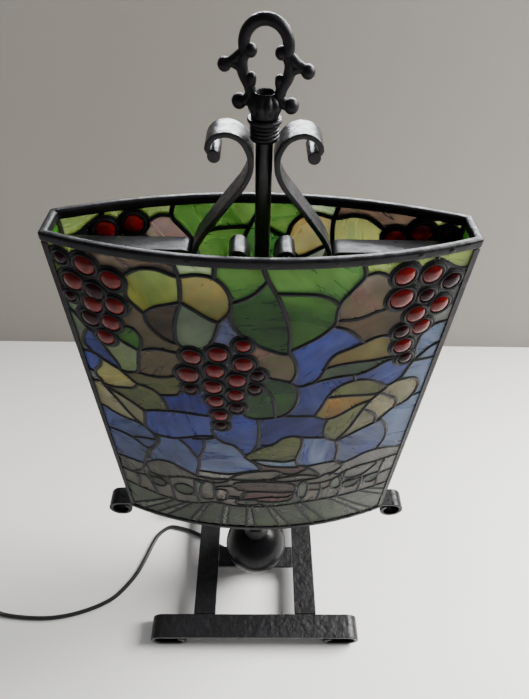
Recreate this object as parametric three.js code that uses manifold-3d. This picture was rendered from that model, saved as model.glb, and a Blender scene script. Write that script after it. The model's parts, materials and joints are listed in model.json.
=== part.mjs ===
// Table lamp with a leaded-glass shade of lens-shaped plan on a black wrought-iron stand.
// Millimetres, +Z up, +X to the right, the front faces -Y, the origin is on the table under the rod.
import * as THREE from 'three';
import { mergeVertices } from 'three/addons/utils/BufferGeometryUtils.js';
import Module from 'manifold-3d';

const wasm = await Module();
wasm.setup();

// Shared fits
const gap = 0.3;                  // clearance between pieces that touch
const slip = 0.35;                // clearance between the rod and what slides over it

// Rod: a threaded steel pipe that carries everything
const rodRadius = 5;
const rodBore = 3.5;
const rodBottom = 16;
const leadRadius = 2.6;           // two-core lead inside the rod
const studRadius = 3.1;           // stud that holds the finial in the top of the rod
const studReach = 12;             // how far the stud goes down into the rod
const studHold = 8;               // how far it goes up into the finial

// Base: an H of flat bars on two feet with rolled ends
const baseTop = 28;               // top of the bars above the table
const baseThick = 5;
const baseWidth = 27.5;
const footLength = 262;
const footSpread = 87.5;          // foot centre line, in front of and behind the rod
const sideSpread = 64.5;          // side bar centre line, left and right of the rod
const rollRun = 20;               // flat stretch on which each foot stands
const rollTuck = 7.5;             // radius of the inner end of a foot's roll

// Column between the base and the shade arm
const ballRadius = 38.5;
const ballRise = 9.416;           // flat foot of the ball above the base
const ballCollarRadius = 17;
const neckHeight = 26;
const neckRadius = 15;
const sleeveRadius = 9;
const nutFlats = 17;
const nutHeight = 5;

// Shade
const shadeWidth = 280;
const shadeDepth = 82.2;          // across the middle
const shadeEndDepth = 28.4;       // across the flat ends
const shadeHeight = 356;
const shadeBottom = 199;
const rimHeight = 7;
const rimWidth = 5.6;
const rimProud = 1.2;             // how far the rims stand out from the glass
const glassThick = 3.2;
const cornerWidth = 5;
const jewelRise = 3.4;
const jewelRadius = 8;
const plateThick = 1.4;           // dark metal that binds a grape cluster

// Lower arm: carries the shade, its ends roll down
const armThick = 4;
const armWidth = 20;
const armReach = 28;              // how far the arm goes past each end of the shade
const armRoll = 13.5;

// Harp: collar, two S scrolls and two upper arms
const upperDrop = 16;             // top of the upper arms below the top of the shade
const upperWidth = 16;
const upperThick = 4;
const upperFlange = 13;
const upperPlay = 2;              // free space between an upper arm and the end glass
const scrollWidth = 20;
const scrollThick = 3.4;
const scrollTip = 3.8;
const collarRadius = 8.2;
const collarHeight = 9.5;
const collarRingRadius = 9.8;
const collarRingHeight = 2.6;
const collarRise = 70.5;          // foot of the collar above the upper arms
const scrollClear = 0.5;          // between a scroll and the space round the rod

// Finial
const finialCup = 13;             // height of the fluted cup
const finialWire = 3.1;           // radius of the cast loop
const archRadius = 11.5;
const archRise = 34.8;            // arch centre above the foot of the cup
const finialYaw = -0.21;          // turn at which the finial is screwed tight, in radians
const knobRadius = 3.4;
const budRadius = 4.1;

// Light fittings
const hubCentre = 292;
const hubRadius = 14;
const hubHeight = 24;
const branchRadius = 5;
const socketSpread = 52;
const socketRise = 20;            // foot of a socket above the hub centre
const socketRadius = 17;
const socketWall = 1.6;
const socketDepth = 48;
const capRadius = 13;
const capLength = 25;
const bulbRadius = 22.5;

// Cord, switch and plug
const cordRadius = 2.7;
const bushingHeight = 4.2;
const straight = 5;               // straight end of the cord where it enters the switch or the plug
const switchSize = [58, 25, 16];
const switchAt = [-374, -66];
const rockerSize = [20, 12, 7];
const coilAt = [-448, -98];
const coilRadius = 31;
const coilHalf = 3 * cordRadius + gap;    // half the width of a bundle three turns wide
const coilHeight = 4 * cordRadius + gap;  // two turns high
const plugSize = [38, 32, 14];
const plugAt = [-428, -22];
const pinRadius = 2.1;
const pinLength = 18;
const pinSpread = 18;

// Levels that follow from the sizes above
const shadeTop = shadeBottom + shadeHeight;
const upperTop = shadeTop - upperDrop;
const armTop = shadeBottom - gap;
const bore = rodRadius + slip;
const armLength = shadeWidth + 2 * armReach;
const ballFlat = bore + 3;
const ballLow = baseTop + ballRise;
const ballCentre = ballLow + Math.sqrt(ballRadius ** 2 - ballFlat ** 2);
const ballHigh = 2 * ballCentre - ballLow;
const collarBottom = upperTop + collarRise;
const collarTop = collarBottom + collarHeight + collarRingHeight;
const finialFoot = collarTop + gap;
const rodTop = collarTop;

const lamp = new THREE.Group();

const iron = { color: 0x151516, roughness: 0.55, metalness: 0.6 };
const castIron = { color: 0x101011, roughness: 0.4, metalness: 0.7 };
const gloss = { color: 0x0b0b0c, roughness: 0.2, metalness: 0.2 };
const lead = { color: 0x3b3a3c, roughness: 0.45, metalness: 0.8 };
const glass = { color: 0x6f9a3a, roughness: 0.25, metalness: 0 };
const redGlass = { color: 0xa01418, roughness: 0.15, metalness: 0 };
const brass = { color: 0xb08d45, roughness: 0.35, metalness: 1 };
const steel = { color: 0x8e8f92, roughness: 0.4, metalness: 1 };
const bulbGlass = { color: 0xf2efe6, roughness: 0.3, metalness: 0 };
const plastic = { color: 0x121213, roughness: 0.5, metalness: 0 };
const bakelite = { color: 0x1a1918, roughness: 0.35, metalness: 0 };

// Adds one named piece to the lamp, or to a group of it.
function add(name, geometry, look, parent = lamp) {
  const mesh = new THREE.Mesh(geometry, new THREE.MeshStandardMaterial(look));
  mesh.name = name;
  parent.add(mesh);
  return mesh;
}

// A closed mesh as a solid that can be joined and cut.
function solid(geometry) {
  const bare = geometry.clone();
  bare.deleteAttribute('normal');
  bare.deleteAttribute('uv');
  const merged = mergeVertices(bare, 1e-4);
  return new wasm.Manifold(new wasm.Mesh({
    numProp: 3,
    vertProperties: new Float32Array(merged.attributes.position.array),
    triVerts: new Uint32Array(merged.index.array),
  }));
}

// A solid as a mesh again.
function geometryOf(body) {
  const mesh = body.getMesh();
  const geometry = new THREE.BufferGeometry();
  geometry.setAttribute('position', new THREE.BufferAttribute(mesh.vertProperties, 3));
  geometry.setIndex(new THREE.BufferAttribute(mesh.triVerts, 1));
  geometry.computeVertexNormals();
  return geometry;
}

function union(geometries) {
  return geometries.map(solid).reduce((whole, next) => whole.add(next));
}

// An outline in the X-Z plane, as a plate of the given width centred on Y = 0.
function plate(shape, width) {
  const geometry = new THREE.ExtrudeGeometry(shape, { depth: width, bevelEnabled: false });
  geometry.rotateX(Math.PI / 2);
  geometry.translate(0, width / 2, 0);
  return geometry;
}

// An outline in plan, raised from one level to another.
function raised(shape, bottom, top) {
  const geometry = new THREE.ExtrudeGeometry(shape, { depth: top - bottom, bevelEnabled: false });
  geometry.translate(0, 0, bottom);
  return geometry;
}

// A turned piece: [radius, height] pairs going up the outside.
function turned(profile, segments = 24) {
  const points = profile.map(([radius, height]) => new THREE.Vector2(radius, height));
  const geometry = new THREE.LatheGeometry(points, segments);
  geometry.rotateX(Math.PI / 2);
  return geometry;
}

// A turned piece with a hole of the given radius right through it.
function bored(hole, profile, segments = 24) {
  const first = profile[0];
  const last = profile[profile.length - 1];
  return turned([[hole, first[1]], ...profile, [hole, last[1]], [hole, first[1]]], segments);
}

// A round bar along a curve.
function roundBar(curve, radius, steps, sides) {
  const section = new THREE.Shape();
  for (let i = 0; i < sides; i += 1) {
    const turn = (i / sides) * Math.PI * 2;
    const move = i === 0 ? 'moveTo' : 'lineTo';
    section[move](radius * Math.cos(turn), radius * Math.sin(turn));
  }
  return new THREE.ExtrudeGeometry(section, { steps, bevelEnabled: false, extrudePath: curve });
}

function smooth(points) {
  return new THREE.CatmullRomCurve3(points.map((point) => new THREE.Vector3(...point)));
}

function ball(x, y, z, radius) {
  const geometry = new THREE.SphereGeometry(radius, 8, 5);
  geometry.rotateX(Math.PI / 2);
  geometry.translate(x, y, z);
  return geometry;
}

// The outline of a flat bar of even thickness that follows a line of points.
function ribbon(points, thickness) {
  const half = thickness / 2;
  const sides = points.map((point, i) => {
    const before = points[Math.max(i - 1, 0)];
    const after = points[Math.min(i + 1, points.length - 1)];
    const arriving = (i === 0 ? after.clone().sub(point) : point.clone().sub(before)).normalize();
    const leaving = i === points.length - 1 ? arriving : after.clone().sub(point).normalize();
    const along = arriving.clone().add(leaving).normalize();
    const stretch = half / Math.max(along.dot(leaving), 0.5);
    return new THREE.Vector2(-along.y * stretch, along.x * stretch);
  });
  const left = points.map((point, i) => point.clone().add(sides[i]));
  const right = points.map((point, i) => point.clone().sub(sides[i])).reverse();
  return new THREE.Shape([...left, ...right]);
}

function mirrored(geometry) {
  const body = solid(geometry);
  return geometryOf(body.mirror([1, 0, 0]));
}

function rotated(geometry) {
  const copy = geometry.clone();
  copy.rotateZ(Math.PI);
  return copy;
}

function box(sizeX, sizeY, sizeZ, x, y, z) {
  const geometry = new THREE.BoxGeometry(sizeX, sizeY, sizeZ);
  geometry.translate(x, y, z);
  return geometry;
}

function hexNut(bottom) {
  const corner = nutFlats / Math.sqrt(3);
  const outline = new THREE.Shape();
  for (let i = 0; i < 6; i += 1) {
    const turn = (i / 6) * Math.PI * 2;
    outline[i === 0 ? 'moveTo' : 'lineTo'](corner * Math.cos(turn), corner * Math.sin(turn));
  }
  outline.holes.push(new THREE.Path().absarc(0, 0, bore, 0, Math.PI * 2, true));
  const geometry = new THREE.ExtrudeGeometry(outline, {
    depth: nutHeight, bevelEnabled: false, curveSegments: 9,
  });
  geometry.translate(0, 0, bottom);
  return geometry;
}

// ---- Base ----

// Centre line of a bar whose two ends roll down and under: outer turn, flat run, inner tuck.
function rolledLine(length, level, outer, run, tuck, tuckTurn) {
  const half = length / 2;
  const turnX = half - outer;
  const right = new THREE.Path();
  right.moveTo(0, level);
  right.lineTo(turnX, level);
  right.absarc(turnX, level - outer, outer, Math.PI / 2, -Math.PI / 2, true);
  if (run > 0) {
    right.lineTo(turnX - run, level - 2 * outer);
  }
  right.absarc(turnX - run, level - 2 * outer + tuck, tuck, -Math.PI / 2, -Math.PI / 2 - tuckTurn, true);
  const points = right.getPoints(5).filter((point, i, all) => i === 0 || point.distanceTo(all[i - 1]) > 0.01);
  const left = points.slice(1).reverse().map((point) => new THREE.Vector2(-point.x, point.y));
  return [...left, ...points.slice(1)];
}

function makeBase() {
  const footLine = rolledLine(
    footLength - baseThick, baseTop - baseThick / 2, (baseTop - baseThick) / 2, rollRun, rollTuck, Math.PI,
  );
  const foot = plate(ribbon(footLine, baseThick), baseWidth);
  for (const [name, side] of [['foot_bar_front', -1], ['foot_bar_back', 1]]) {
    add(name, foot.clone(), iron).position.y = side * footSpread;
  }
  const level = baseTop - baseThick / 2;
  const sideLength = 2 * footSpread - baseWidth - 2 * gap;
  for (const [name, side] of [['side_bar_left', -1], ['side_bar_right', 1]]) {
    add(name, box(baseWidth, sideLength, baseThick, side * sideSpread, 0, level), iron);
  }
  const crossLength = 2 * sideSpread - baseWidth - 2 * gap;
  const cross = new THREE.Shape();
  cross.moveTo(-crossLength / 2, -baseWidth / 2);
  cross.lineTo(crossLength / 2, -baseWidth / 2);
  cross.lineTo(crossLength / 2, baseWidth / 2);
  cross.lineTo(-crossLength / 2, baseWidth / 2);
  cross.holes.push(new THREE.Path().absarc(0, 0, bore, 0, Math.PI * 2, true));
  add('cross_bar', raised(cross, baseTop - baseThick, baseTop), iron);
}

// ---- Column ----

function makeColumn() {
  add('center_rod', turned([
    [rodBore, rodBottom], [rodRadius, rodBottom], [rodRadius, rodTop], [rodBore, rodTop], [rodBore, rodBottom],
  ]), steel);
  add('base_nut', hexNut(baseTop - baseThick - gap - nutHeight), steel);

  const collarFoot = baseTop + gap;
  add('ball_collar', bored(bore, [
    [ballCollarRadius, collarFoot],
    [ballCollarRadius, collarFoot + 2.6],
    [ballCollarRadius - 4, collarFoot + 4.6],
    [ballCollarRadius - 4, ballLow - gap],
  ]), gloss);

  const turns = 10;
  const open = Math.asin(ballFlat / ballRadius);
  const profile = [];
  for (let i = 0; i <= turns; i += 1) {
    const angle = -Math.PI / 2 + open + (i / turns) * (Math.PI - 2 * open);
    profile.push([ballRadius * Math.cos(angle), ballCentre + ballRadius * Math.sin(angle)]);
  }
  add('column_ball', bored(bore, profile), gloss);

  const neckBottom = ballHigh + gap;
  add('column_neck', bored(bore, [
    [neckRadius, neckBottom],
    [neckRadius, neckBottom + 3],
    [sleeveRadius + 1, neckBottom + neckHeight * 0.55],
    [sleeveRadius + 3, neckBottom + neckHeight - 3],
    [sleeveRadius + 3, neckBottom + neckHeight],
  ]), gloss);
  add('column_sleeve', bored(bore, [
    [sleeveRadius, neckBottom + neckHeight + gap],
    [sleeveRadius, armTop - armThick - gap],
  ]), iron);

  const armLine = rolledLine(armLength - armThick, armTop - armThick / 2, armRoll - armThick / 2, 0, 10, 2.5);
  const rodHole = new THREE.CylinderGeometry(bore, bore, 4 * armThick, 20);
  rodHole.rotateX(Math.PI / 2);
  rodHole.translate(0, 0, armTop);
  const arm = solid(plate(ribbon(armLine, armThick), armWidth)).subtract(solid(rodHole));
  add('lower_arm', geometryOf(arm), iron);
  add('arm_nut', hexNut(armTop + gap), steel);
}

// ---- Shade ----

// Half the depth of the shade's outline at a distance from its middle, drawn in by an inset.
const rise = (shadeDepth - shadeEndDepth) / 2;
const panelRadius = (rise ** 2 + (shadeWidth / 2) ** 2) / (2 * rise);
const panelCentre = shadeDepth / 2 - panelRadius;

function outlineDepth(x, inset) {
  return panelCentre + Math.sqrt((panelRadius - inset) ** 2 - x ** 2);
}

// Points along the front or back of the outline, from one X to another.
function outlineRun(from, to, inset, side, steps = 24) {
  const points = [];
  for (let i = 0; i <= steps; i += 1) {
    const x = from + ((to - from) * i) / steps;
    points.push(new THREE.Vector2(x, side * outlineDepth(x, inset)));
  }
  return points;
}

function ringOutline(inset) {
  const half = shadeWidth / 2 - inset;
  return [...outlineRun(-half, half, inset, -1), ...outlineRun(half, -half, inset, 1)];
}

function makeRims(shade) {
  for (const [name, bottom] of [['rim_bottom', shadeBottom], ['rim_top', shadeTop - rimHeight]]) {
    const rim = new THREE.Shape(ringOutline(0));
    rim.holes.push(new THREE.Path(ringOutline(rimWidth).reverse()));
    add(name, raised(rim, bottom, bottom + rimHeight), lead, shade);
  }
}

// Grape clusters on the front glass: jewel centres and the edge of the dark metal that binds
// them, as [from the middle of the shade, down from its top].
const clusters = {
  left: {
    jewels: [[-112, 18], [-96, 26], [-124, 34], [-110, 39], [-114, 51], [-98, 48], [-119, 65],
      [-104, 65], [-111, 81]],
    edge: [[-133, 10], [-100, 10], [-87, 19], [-87, 54], [-95, 75], [-103, 91], [-117, 91],
      [-125, 70], [-133, 56]],
  },
  middle: {
    jewels: [[-12, 72], [-30, 82], [-49, 87], [-12, 91], [-33, 100], [-53, 107], [-17, 109], [-2, 103],
      [-35, 118], [-53, 122], [-18, 126], [-33, 135], [-18, 142], [-31, 153], [-31, 167]],
    edge: [[-18, 63], [-5, 63], [2, 83], [8, 101], [5, 121], [-7, 138], [-10, 153], [-22, 176],
      [-39, 176], [-44, 132], [-62, 130], [-63, 98], [-58, 77]],
  },
  right: {
    jewels: [[90, 18], [109, 20], [124, 29], [92, 37], [111, 39], [122, 49], [106, 54], [113, 67],
      [100, 68], [103, 84], [108, 97]],
    edge: [[81, 10], [116, 10], [133, 23], [133, 56], [122, 75], [117, 105], [101, 105], [92, 88],
      [90, 60], [82, 47]],
  },
};

// The dark metal plate of one cluster, bent along the glass.
function clusterPlate(edge) {
  const outline = new THREE.Shape(edge.map(([x, down]) => new THREE.Vector2(x, shadeTop - down)));
  const reach = shadeWidth / 2 - 2;
  const face = rimProud - gap;
  const skin = raised(new THREE.Shape([
    ...outlineRun(-reach, reach, face - plateThick, -1),
    ...outlineRun(reach, -reach, face, -1),
  ]), shadeBottom, shadeTop);
  return solid(plate(outline, 2 * shadeDepth)).intersect(solid(skin));
}

// The space behind the outer face of the front glass, with the clearance in front of it.
function frontGlassSpace() {
  const reach = shadeWidth / 2;
  return solid(raised(new THREE.Shape([
    ...outlineRun(-reach + 2, reach - 2, rimProud - gap, -1),
    ...outlineRun(reach - 2, -reach + 2, rimProud + 3 * glassThick, -1),
  ]), shadeBottom, shadeTop));
}

// One grape cluster on the outside of the front glass.
function clusterBody({ jewels, edge }) {
  return jewels.reduce((cluster, [x, down]) => {
    const dome = new THREE.SphereGeometry(jewelRadius, 8, 3);
    dome.scale(1, jewelRise / jewelRadius, 1);
    dome.rotateZ(Math.asin(x / (panelRadius - rimProud)));
    dome.translate(x, -outlineDepth(x, rimProud) - gap - plateThick / 2, shadeTop - down);
    return cluster.add(solid(dome));
  }, clusterPlate(edge)).subtract(frontGlassSpace());
}

function makeShade() {
  const shade = new THREE.Group();
  lamp.add(shade);
  makeRims(shade);
  const bottom = shadeBottom + rimHeight + gap;
  const top = shadeTop - rimHeight - gap;
  const reach = shadeWidth / 2 - cornerWidth - gap;
  const panel = raised(new THREE.Shape([
    ...outlineRun(-reach, reach, rimProud, -1),
    ...outlineRun(reach, -reach, rimProud + glassThick, -1),
  ]), bottom, top);
  add('glass_front', panel, glass, shade);
  add('glass_back', rotated(panel), glass, shade);

  const endHalf = outlineDepth(shadeWidth / 2 - rimProud, rimProud) - cornerWidth - gap;
  const endX = shadeWidth / 2 - rimProud - glassThick / 2;
  const cornerIn = shadeWidth / 2 - cornerWidth;
  const cornerOut = shadeWidth / 2 - rimProud / 2;
  const depthIn = rimProud + glassThick + 0.4;
  for (const [name, side] of [['left', -1], ['right', 1]]) {
    const end = box(glassThick, 2 * endHalf, top - bottom, side * endX, 0, (top + bottom) / 2);
    add(`glass_end_${name}`, end, glass, shade);
    for (const [depthName, ySide] of [['front', -1], ['back', 1]]) {
      const corner = [
        [cornerIn, outlineDepth(cornerIn, rimProud / 2)],
        [cornerIn, outlineDepth(cornerIn, depthIn)],
        [cornerOut - glassThick - 1, outlineDepth(cornerOut, rimProud / 2) - cornerWidth],
        [cornerOut, outlineDepth(cornerOut, rimProud / 2) - cornerWidth],
        [cornerOut, outlineDepth(cornerOut, rimProud / 2)],
      ].map(([x, y]) => new THREE.Vector2(side * x, ySide * y));
      const outline = new THREE.Shape(side * ySide > 0 ? corner : corner.reverse());
      add(`corner_came_${depthName}_${name}`, raised(outline, bottom, top), lead, shade);
    }
  }

  for (const [name, cluster] of Object.entries(clusters)) {
    const body = geometryOf(clusterBody(cluster));
    add(`grapes_front_${name}`, body, redGlass, shade);
    add(`grapes_back_${name}`, rotated(body), redGlass, shade);
  }
}

// ---- Harp and finial ----

// Centre line of the right scroll, as [out from the neck of the scroll, up from the top of the arms].
const scrollPoints = [
  [20.8, 64.2], [24.3, 68.3], [21, 74.2], [13.4, 76.4], [6, 73.6], [1.7, 67.5], [0, 61], [0.7, 54],
  [4.4, 46], [12, 36], [23.4, 21], [31, 10.5], [36, 1], [37.7, -8], [35.4, -18], [28.4, -24.8],
  [19.4, -26.8], [9.9, -24], [3.4, -17], [2.2, -8], [5.6, -1.3], [10.8, -0.8], [13.4, -4.8],
];
const scrollReach = Math.max(...scrollPoints.map(([out]) => out));

function scrollBody(thickness, width, tip) {
  const neck = bore + scrollThick / 2 + scrollClear;
  const curve = smooth(scrollPoints.map(([out, up]) => [neck + out, upperTop + up, 0]));
  const line = curve.getPoints(44).map((point) => new THREE.Vector2(point.x, point.y));
  const roll = new THREE.CylinderGeometry(tip, tip, width, 14);
  roll.translate(line[0].x, 0, line[0].y);
  return union([plate(ribbon(line, thickness), width), roll]);
}

function makeHarp() {
  add('harp_collar', bored(bore, [
    [collarRadius, collarBottom],
    [collarRadius, collarBottom + collarHeight],
    [collarRingRadius, collarBottom + collarHeight + 0.6],
    [collarRingRadius, collarTop],
  ]), castIron);

  const scroll = geometryOf(scrollBody(scrollThick, scrollWidth, scrollTip));
  add('scroll_right', scroll, iron);
  add('scroll_left', mirrored(scroll), iron);

  const clear = scrollBody(scrollThick + 2 * gap, scrollWidth + 2, scrollTip);
  const scrollFoot = bore + scrollThick + scrollClear + scrollReach;
  const armEnd = shadeWidth / 2 - rimProud - glassThick - upperPlay;
  const outline = new THREE.Shape([
    [scrollFoot - 2, upperTop],
    [scrollFoot - 2, upperTop - upperFlange],
    [scrollFoot + upperThick, upperTop - upperFlange],
    [scrollFoot + upperThick, upperTop - upperThick],
    [armEnd, upperTop - upperThick],
    [armEnd, upperTop],
  ].map(([x, z]) => new THREE.Vector2(x, z)));
  const pieces = solid(plate(outline, upperWidth)).subtract(clear).decompose();
  const largest = pieces.reduce((best, next) => (next.volume() > best.volume() ? next : best));
  const upper = geometryOf(largest);
  add('upper_arm_right', upper, iron);
  add('upper_arm_left', mirrored(upper), iron);
}

function makeFinial() {
  const foot = finialFoot;
  const cup = turned([
    [0, foot],
    [7.4, foot],
    [7.4, foot + 1.6],
    [8.4, foot + 4],
    [9.6, foot + 8.4],
    [8.6, foot + 11.2],
    [6.6, foot + finialCup],
    [0, foot + finialCup],
  ], 16);
  const arch = [];
  for (let i = 0; i <= 12; i += 1) {
    const angle = Math.PI * (-0.13 + (1.26 * i) / 12);
    arch.push([archRadius * Math.cos(angle), 0, foot + archRise + archRadius * Math.sin(angle)]);
  }
  const parts = [cup, roundBar(smooth(arch), finialWire, 12, 8)];
  for (const side of [-1, 1]) {
    const knob = [side * 8, 0, foot + 32];
    const arm = smooth([
      [side * 10.6, 0, foot + 31], [side * 15.5, 0, foot + 28.1], [side * 21.6, 0, foot + 24.7],
    ]);
    const leg = smooth([
      [side * 11.2, 0, foot + 31.4], [side * 12.8, 0, foot + 26.2], [side * 11.4, 0, foot + 19.5],
      [side * 8.3, 0, foot + 14.3], [side * 7.8, 0, foot + 9.5],
    ]);
    const scroll = smooth([[side * 8, 0, foot + 10.5], [side * 11, 0, foot + 8.2], [side * 14, 0, foot + 7.2]]);
    parts.push(
      ball(...knob, knobRadius),
      roundBar(arm, finialWire - 0.2, 2, 8),
      ball(side * 22, 0, foot + 24.5, finialWire),
      roundBar(leg, finialWire, 5, 8),
      roundBar(scroll, finialWire, 2, 8),
      ball(side * 14.3, 0, foot + 7, budRadius),
    );
  }
  const hole = turned([
    [0, foot - gap], [studRadius + gap, foot - gap],
    [studRadius + gap, foot + studHold + gap], [0, foot + studHold + gap],
  ]);
  const loop = geometryOf(union(parts).subtract(solid(hole)));
  loop.rotateZ(finialYaw);
  add('finial', loop, castIron);
  add('finial_stud', turned([
    [0, foot - studReach], [studRadius, foot - studReach],
    [studRadius, foot + studHold], [0, foot + studHold],
  ]), steel);
}

// ---- Light fittings ----

function makeLights() {
  add('socket_hub', bored(bore, [
    [hubRadius, hubCentre - hubHeight / 2], [hubRadius, hubCentre + hubHeight / 2],
  ]), brass);
  add('hub_nut', hexNut(hubCentre - hubHeight / 2 - gap - nutHeight), steel);
  add('supply_lead', turned([
    [0, rodBottom], [leadRadius, rodBottom], [leadRadius, hubCentre], [0, hubCentre],
  ], 12), plastic);

  const socketFoot = hubCentre + socketRise;
  for (const [name, side] of [['left', -1], ['right', 1]]) {
    const branch = smooth([
      [side * (hubRadius + gap), 0, hubCentre],
      [side * (socketSpread - 18), 0, hubCentre],
      [side * (socketSpread - 4), 0, hubCentre + 4],
      [side * socketSpread, 0, socketFoot - 5],
      [side * socketSpread, 0, socketFoot - gap],
    ]);
    add(`branch_${name}`, roundBar(branch, branchRadius, 7, 10), brass);

    const socket = new THREE.Group();
    socket.position.x = side * socketSpread;
    lamp.add(socket);
    const inner = socketRadius - socketWall;
    add(`socket_shell_${name}`, turned([
      [0, socketFoot], [socketRadius - 5, socketFoot], [socketRadius, socketFoot + 6],
      [socketRadius, socketFoot + socketDepth], [inner, socketFoot + socketDepth],
      [inner, socketFoot + 8], [0, socketFoot + 8],
    ]), brass, socket);
    const capFoot = socketFoot + 14;
    add(`socket_contact_${name}`, turned([
      [0, socketFoot + 8 + gap], [capRadius - 2, socketFoot + 8 + gap],
      [capRadius - 2, capFoot - 2 - gap], [0, capFoot - 2 - gap],
    ], 16), bakelite, socket);
    add(`bulb_cap_${name}`, turned([
      [0, capFoot - 2], [5, capFoot - 2], [capRadius, capFoot + 3], [capRadius, capFoot + capLength],
      [0, capFoot + capLength],
    ], 20), steel, socket);
    const bulbFoot = capFoot + capLength + gap;
    const bulbCentre = bulbFoot + 10 + Math.sqrt(bulbRadius ** 2 - capRadius ** 2);
    const open = Math.asin((capRadius - 0.6) / bulbRadius);
    const globe = [[0, bulbFoot], [capRadius - 1, bulbFoot], [capRadius - 1, bulbFoot + 6]];
    for (let i = 0; i <= 8; i += 1) {
      const angle = -Math.PI / 2 + open + (i / 8) * (Math.PI - open);
      globe.push([i === 8 ? 0 : bulbRadius * Math.cos(angle), bulbCentre + bulbRadius * Math.sin(angle)]);
    }
    add(`bulb_glass_${name}`, turned(globe, 16), bulbGlass, socket);
  }
}

// ---- Cord, switch and plug ----

// Way of the cord over the table, from under the rod to the switch, chosen by eye.
const cordWay = [
  [-46, 22], [-82, 41], [-109, 51], [-127, 53], [-142, 41], [-149, 26], [-156, 6], [-164, -13],
  [-176, -31], [-190, -46], [-205, -55], [-225, -63], [-248, -69], [-274, -72], [-305, -71],
];

function roundedBox(sizeX, sizeY, bottom, top, corner) {
  const [x, y] = [sizeX / 2, sizeY / 2];
  const outline = new THREE.Shape();
  outline.moveTo(x, -y + corner);
  outline.absarc(x - corner, y - corner, corner, 0, Math.PI / 2);
  outline.absarc(-x + corner, y - corner, corner, Math.PI / 2, Math.PI);
  outline.absarc(-x + corner, -y + corner, corner, Math.PI, Math.PI * 1.5);
  outline.absarc(x - corner, -y + corner, corner, Math.PI * 1.5, Math.PI * 2);
  const geometry = new THREE.ExtrudeGeometry(outline, {
    depth: top - bottom, bevelEnabled: false, curveSegments: 3,
  });
  geometry.translate(0, 0, bottom);
  return geometry;
}

function makeSwitch() {
  const [length, width, height] = switchSize;
  const middle = height / 2;
  const place = new THREE.Group();
  place.position.set(switchAt[0], switchAt[1], 0);
  lamp.add(place);
  const [rockerX, rockerY, rockerZ] = rockerSize;
  const lower = solid(roundedBox(length, width, 0, middle - gap / 2, 5));
  const upper = solid(roundedBox(length, width, middle + gap / 2, height, 5));
  const window = solid(box(rockerX + 1.6, rockerY + 1.2, 3 * height, 0, 0, height));
  const well = solid(box(rockerX + 1.6, rockerY + 1.2, height, 0, 0, middle - 2 + height / 2));
  add('switch_lower', geometryOf(lower.subtract(well)), plastic, place);
  add('switch_upper', geometryOf(upper.subtract(window)), plastic, place);
  const rocker = new THREE.Shape();
  rocker.moveTo(-rockerX / 2, -rockerZ / 2 + 1.5);
  rocker.lineTo(0, -rockerZ / 2);
  rocker.lineTo(rockerX / 2, -rockerZ / 2 + 1.5);
  rocker.lineTo(rockerX / 2, rockerZ / 2);
  rocker.lineTo(0, rockerZ / 2 - 1.4);
  rocker.lineTo(-rockerX / 2, rockerZ / 2);
  const rockerMesh = add('switch_rocker', plate(rocker, rockerY), bakelite, place);
  rockerMesh.position.z = height - rockerZ / 2 + 1.6;
}

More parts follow.
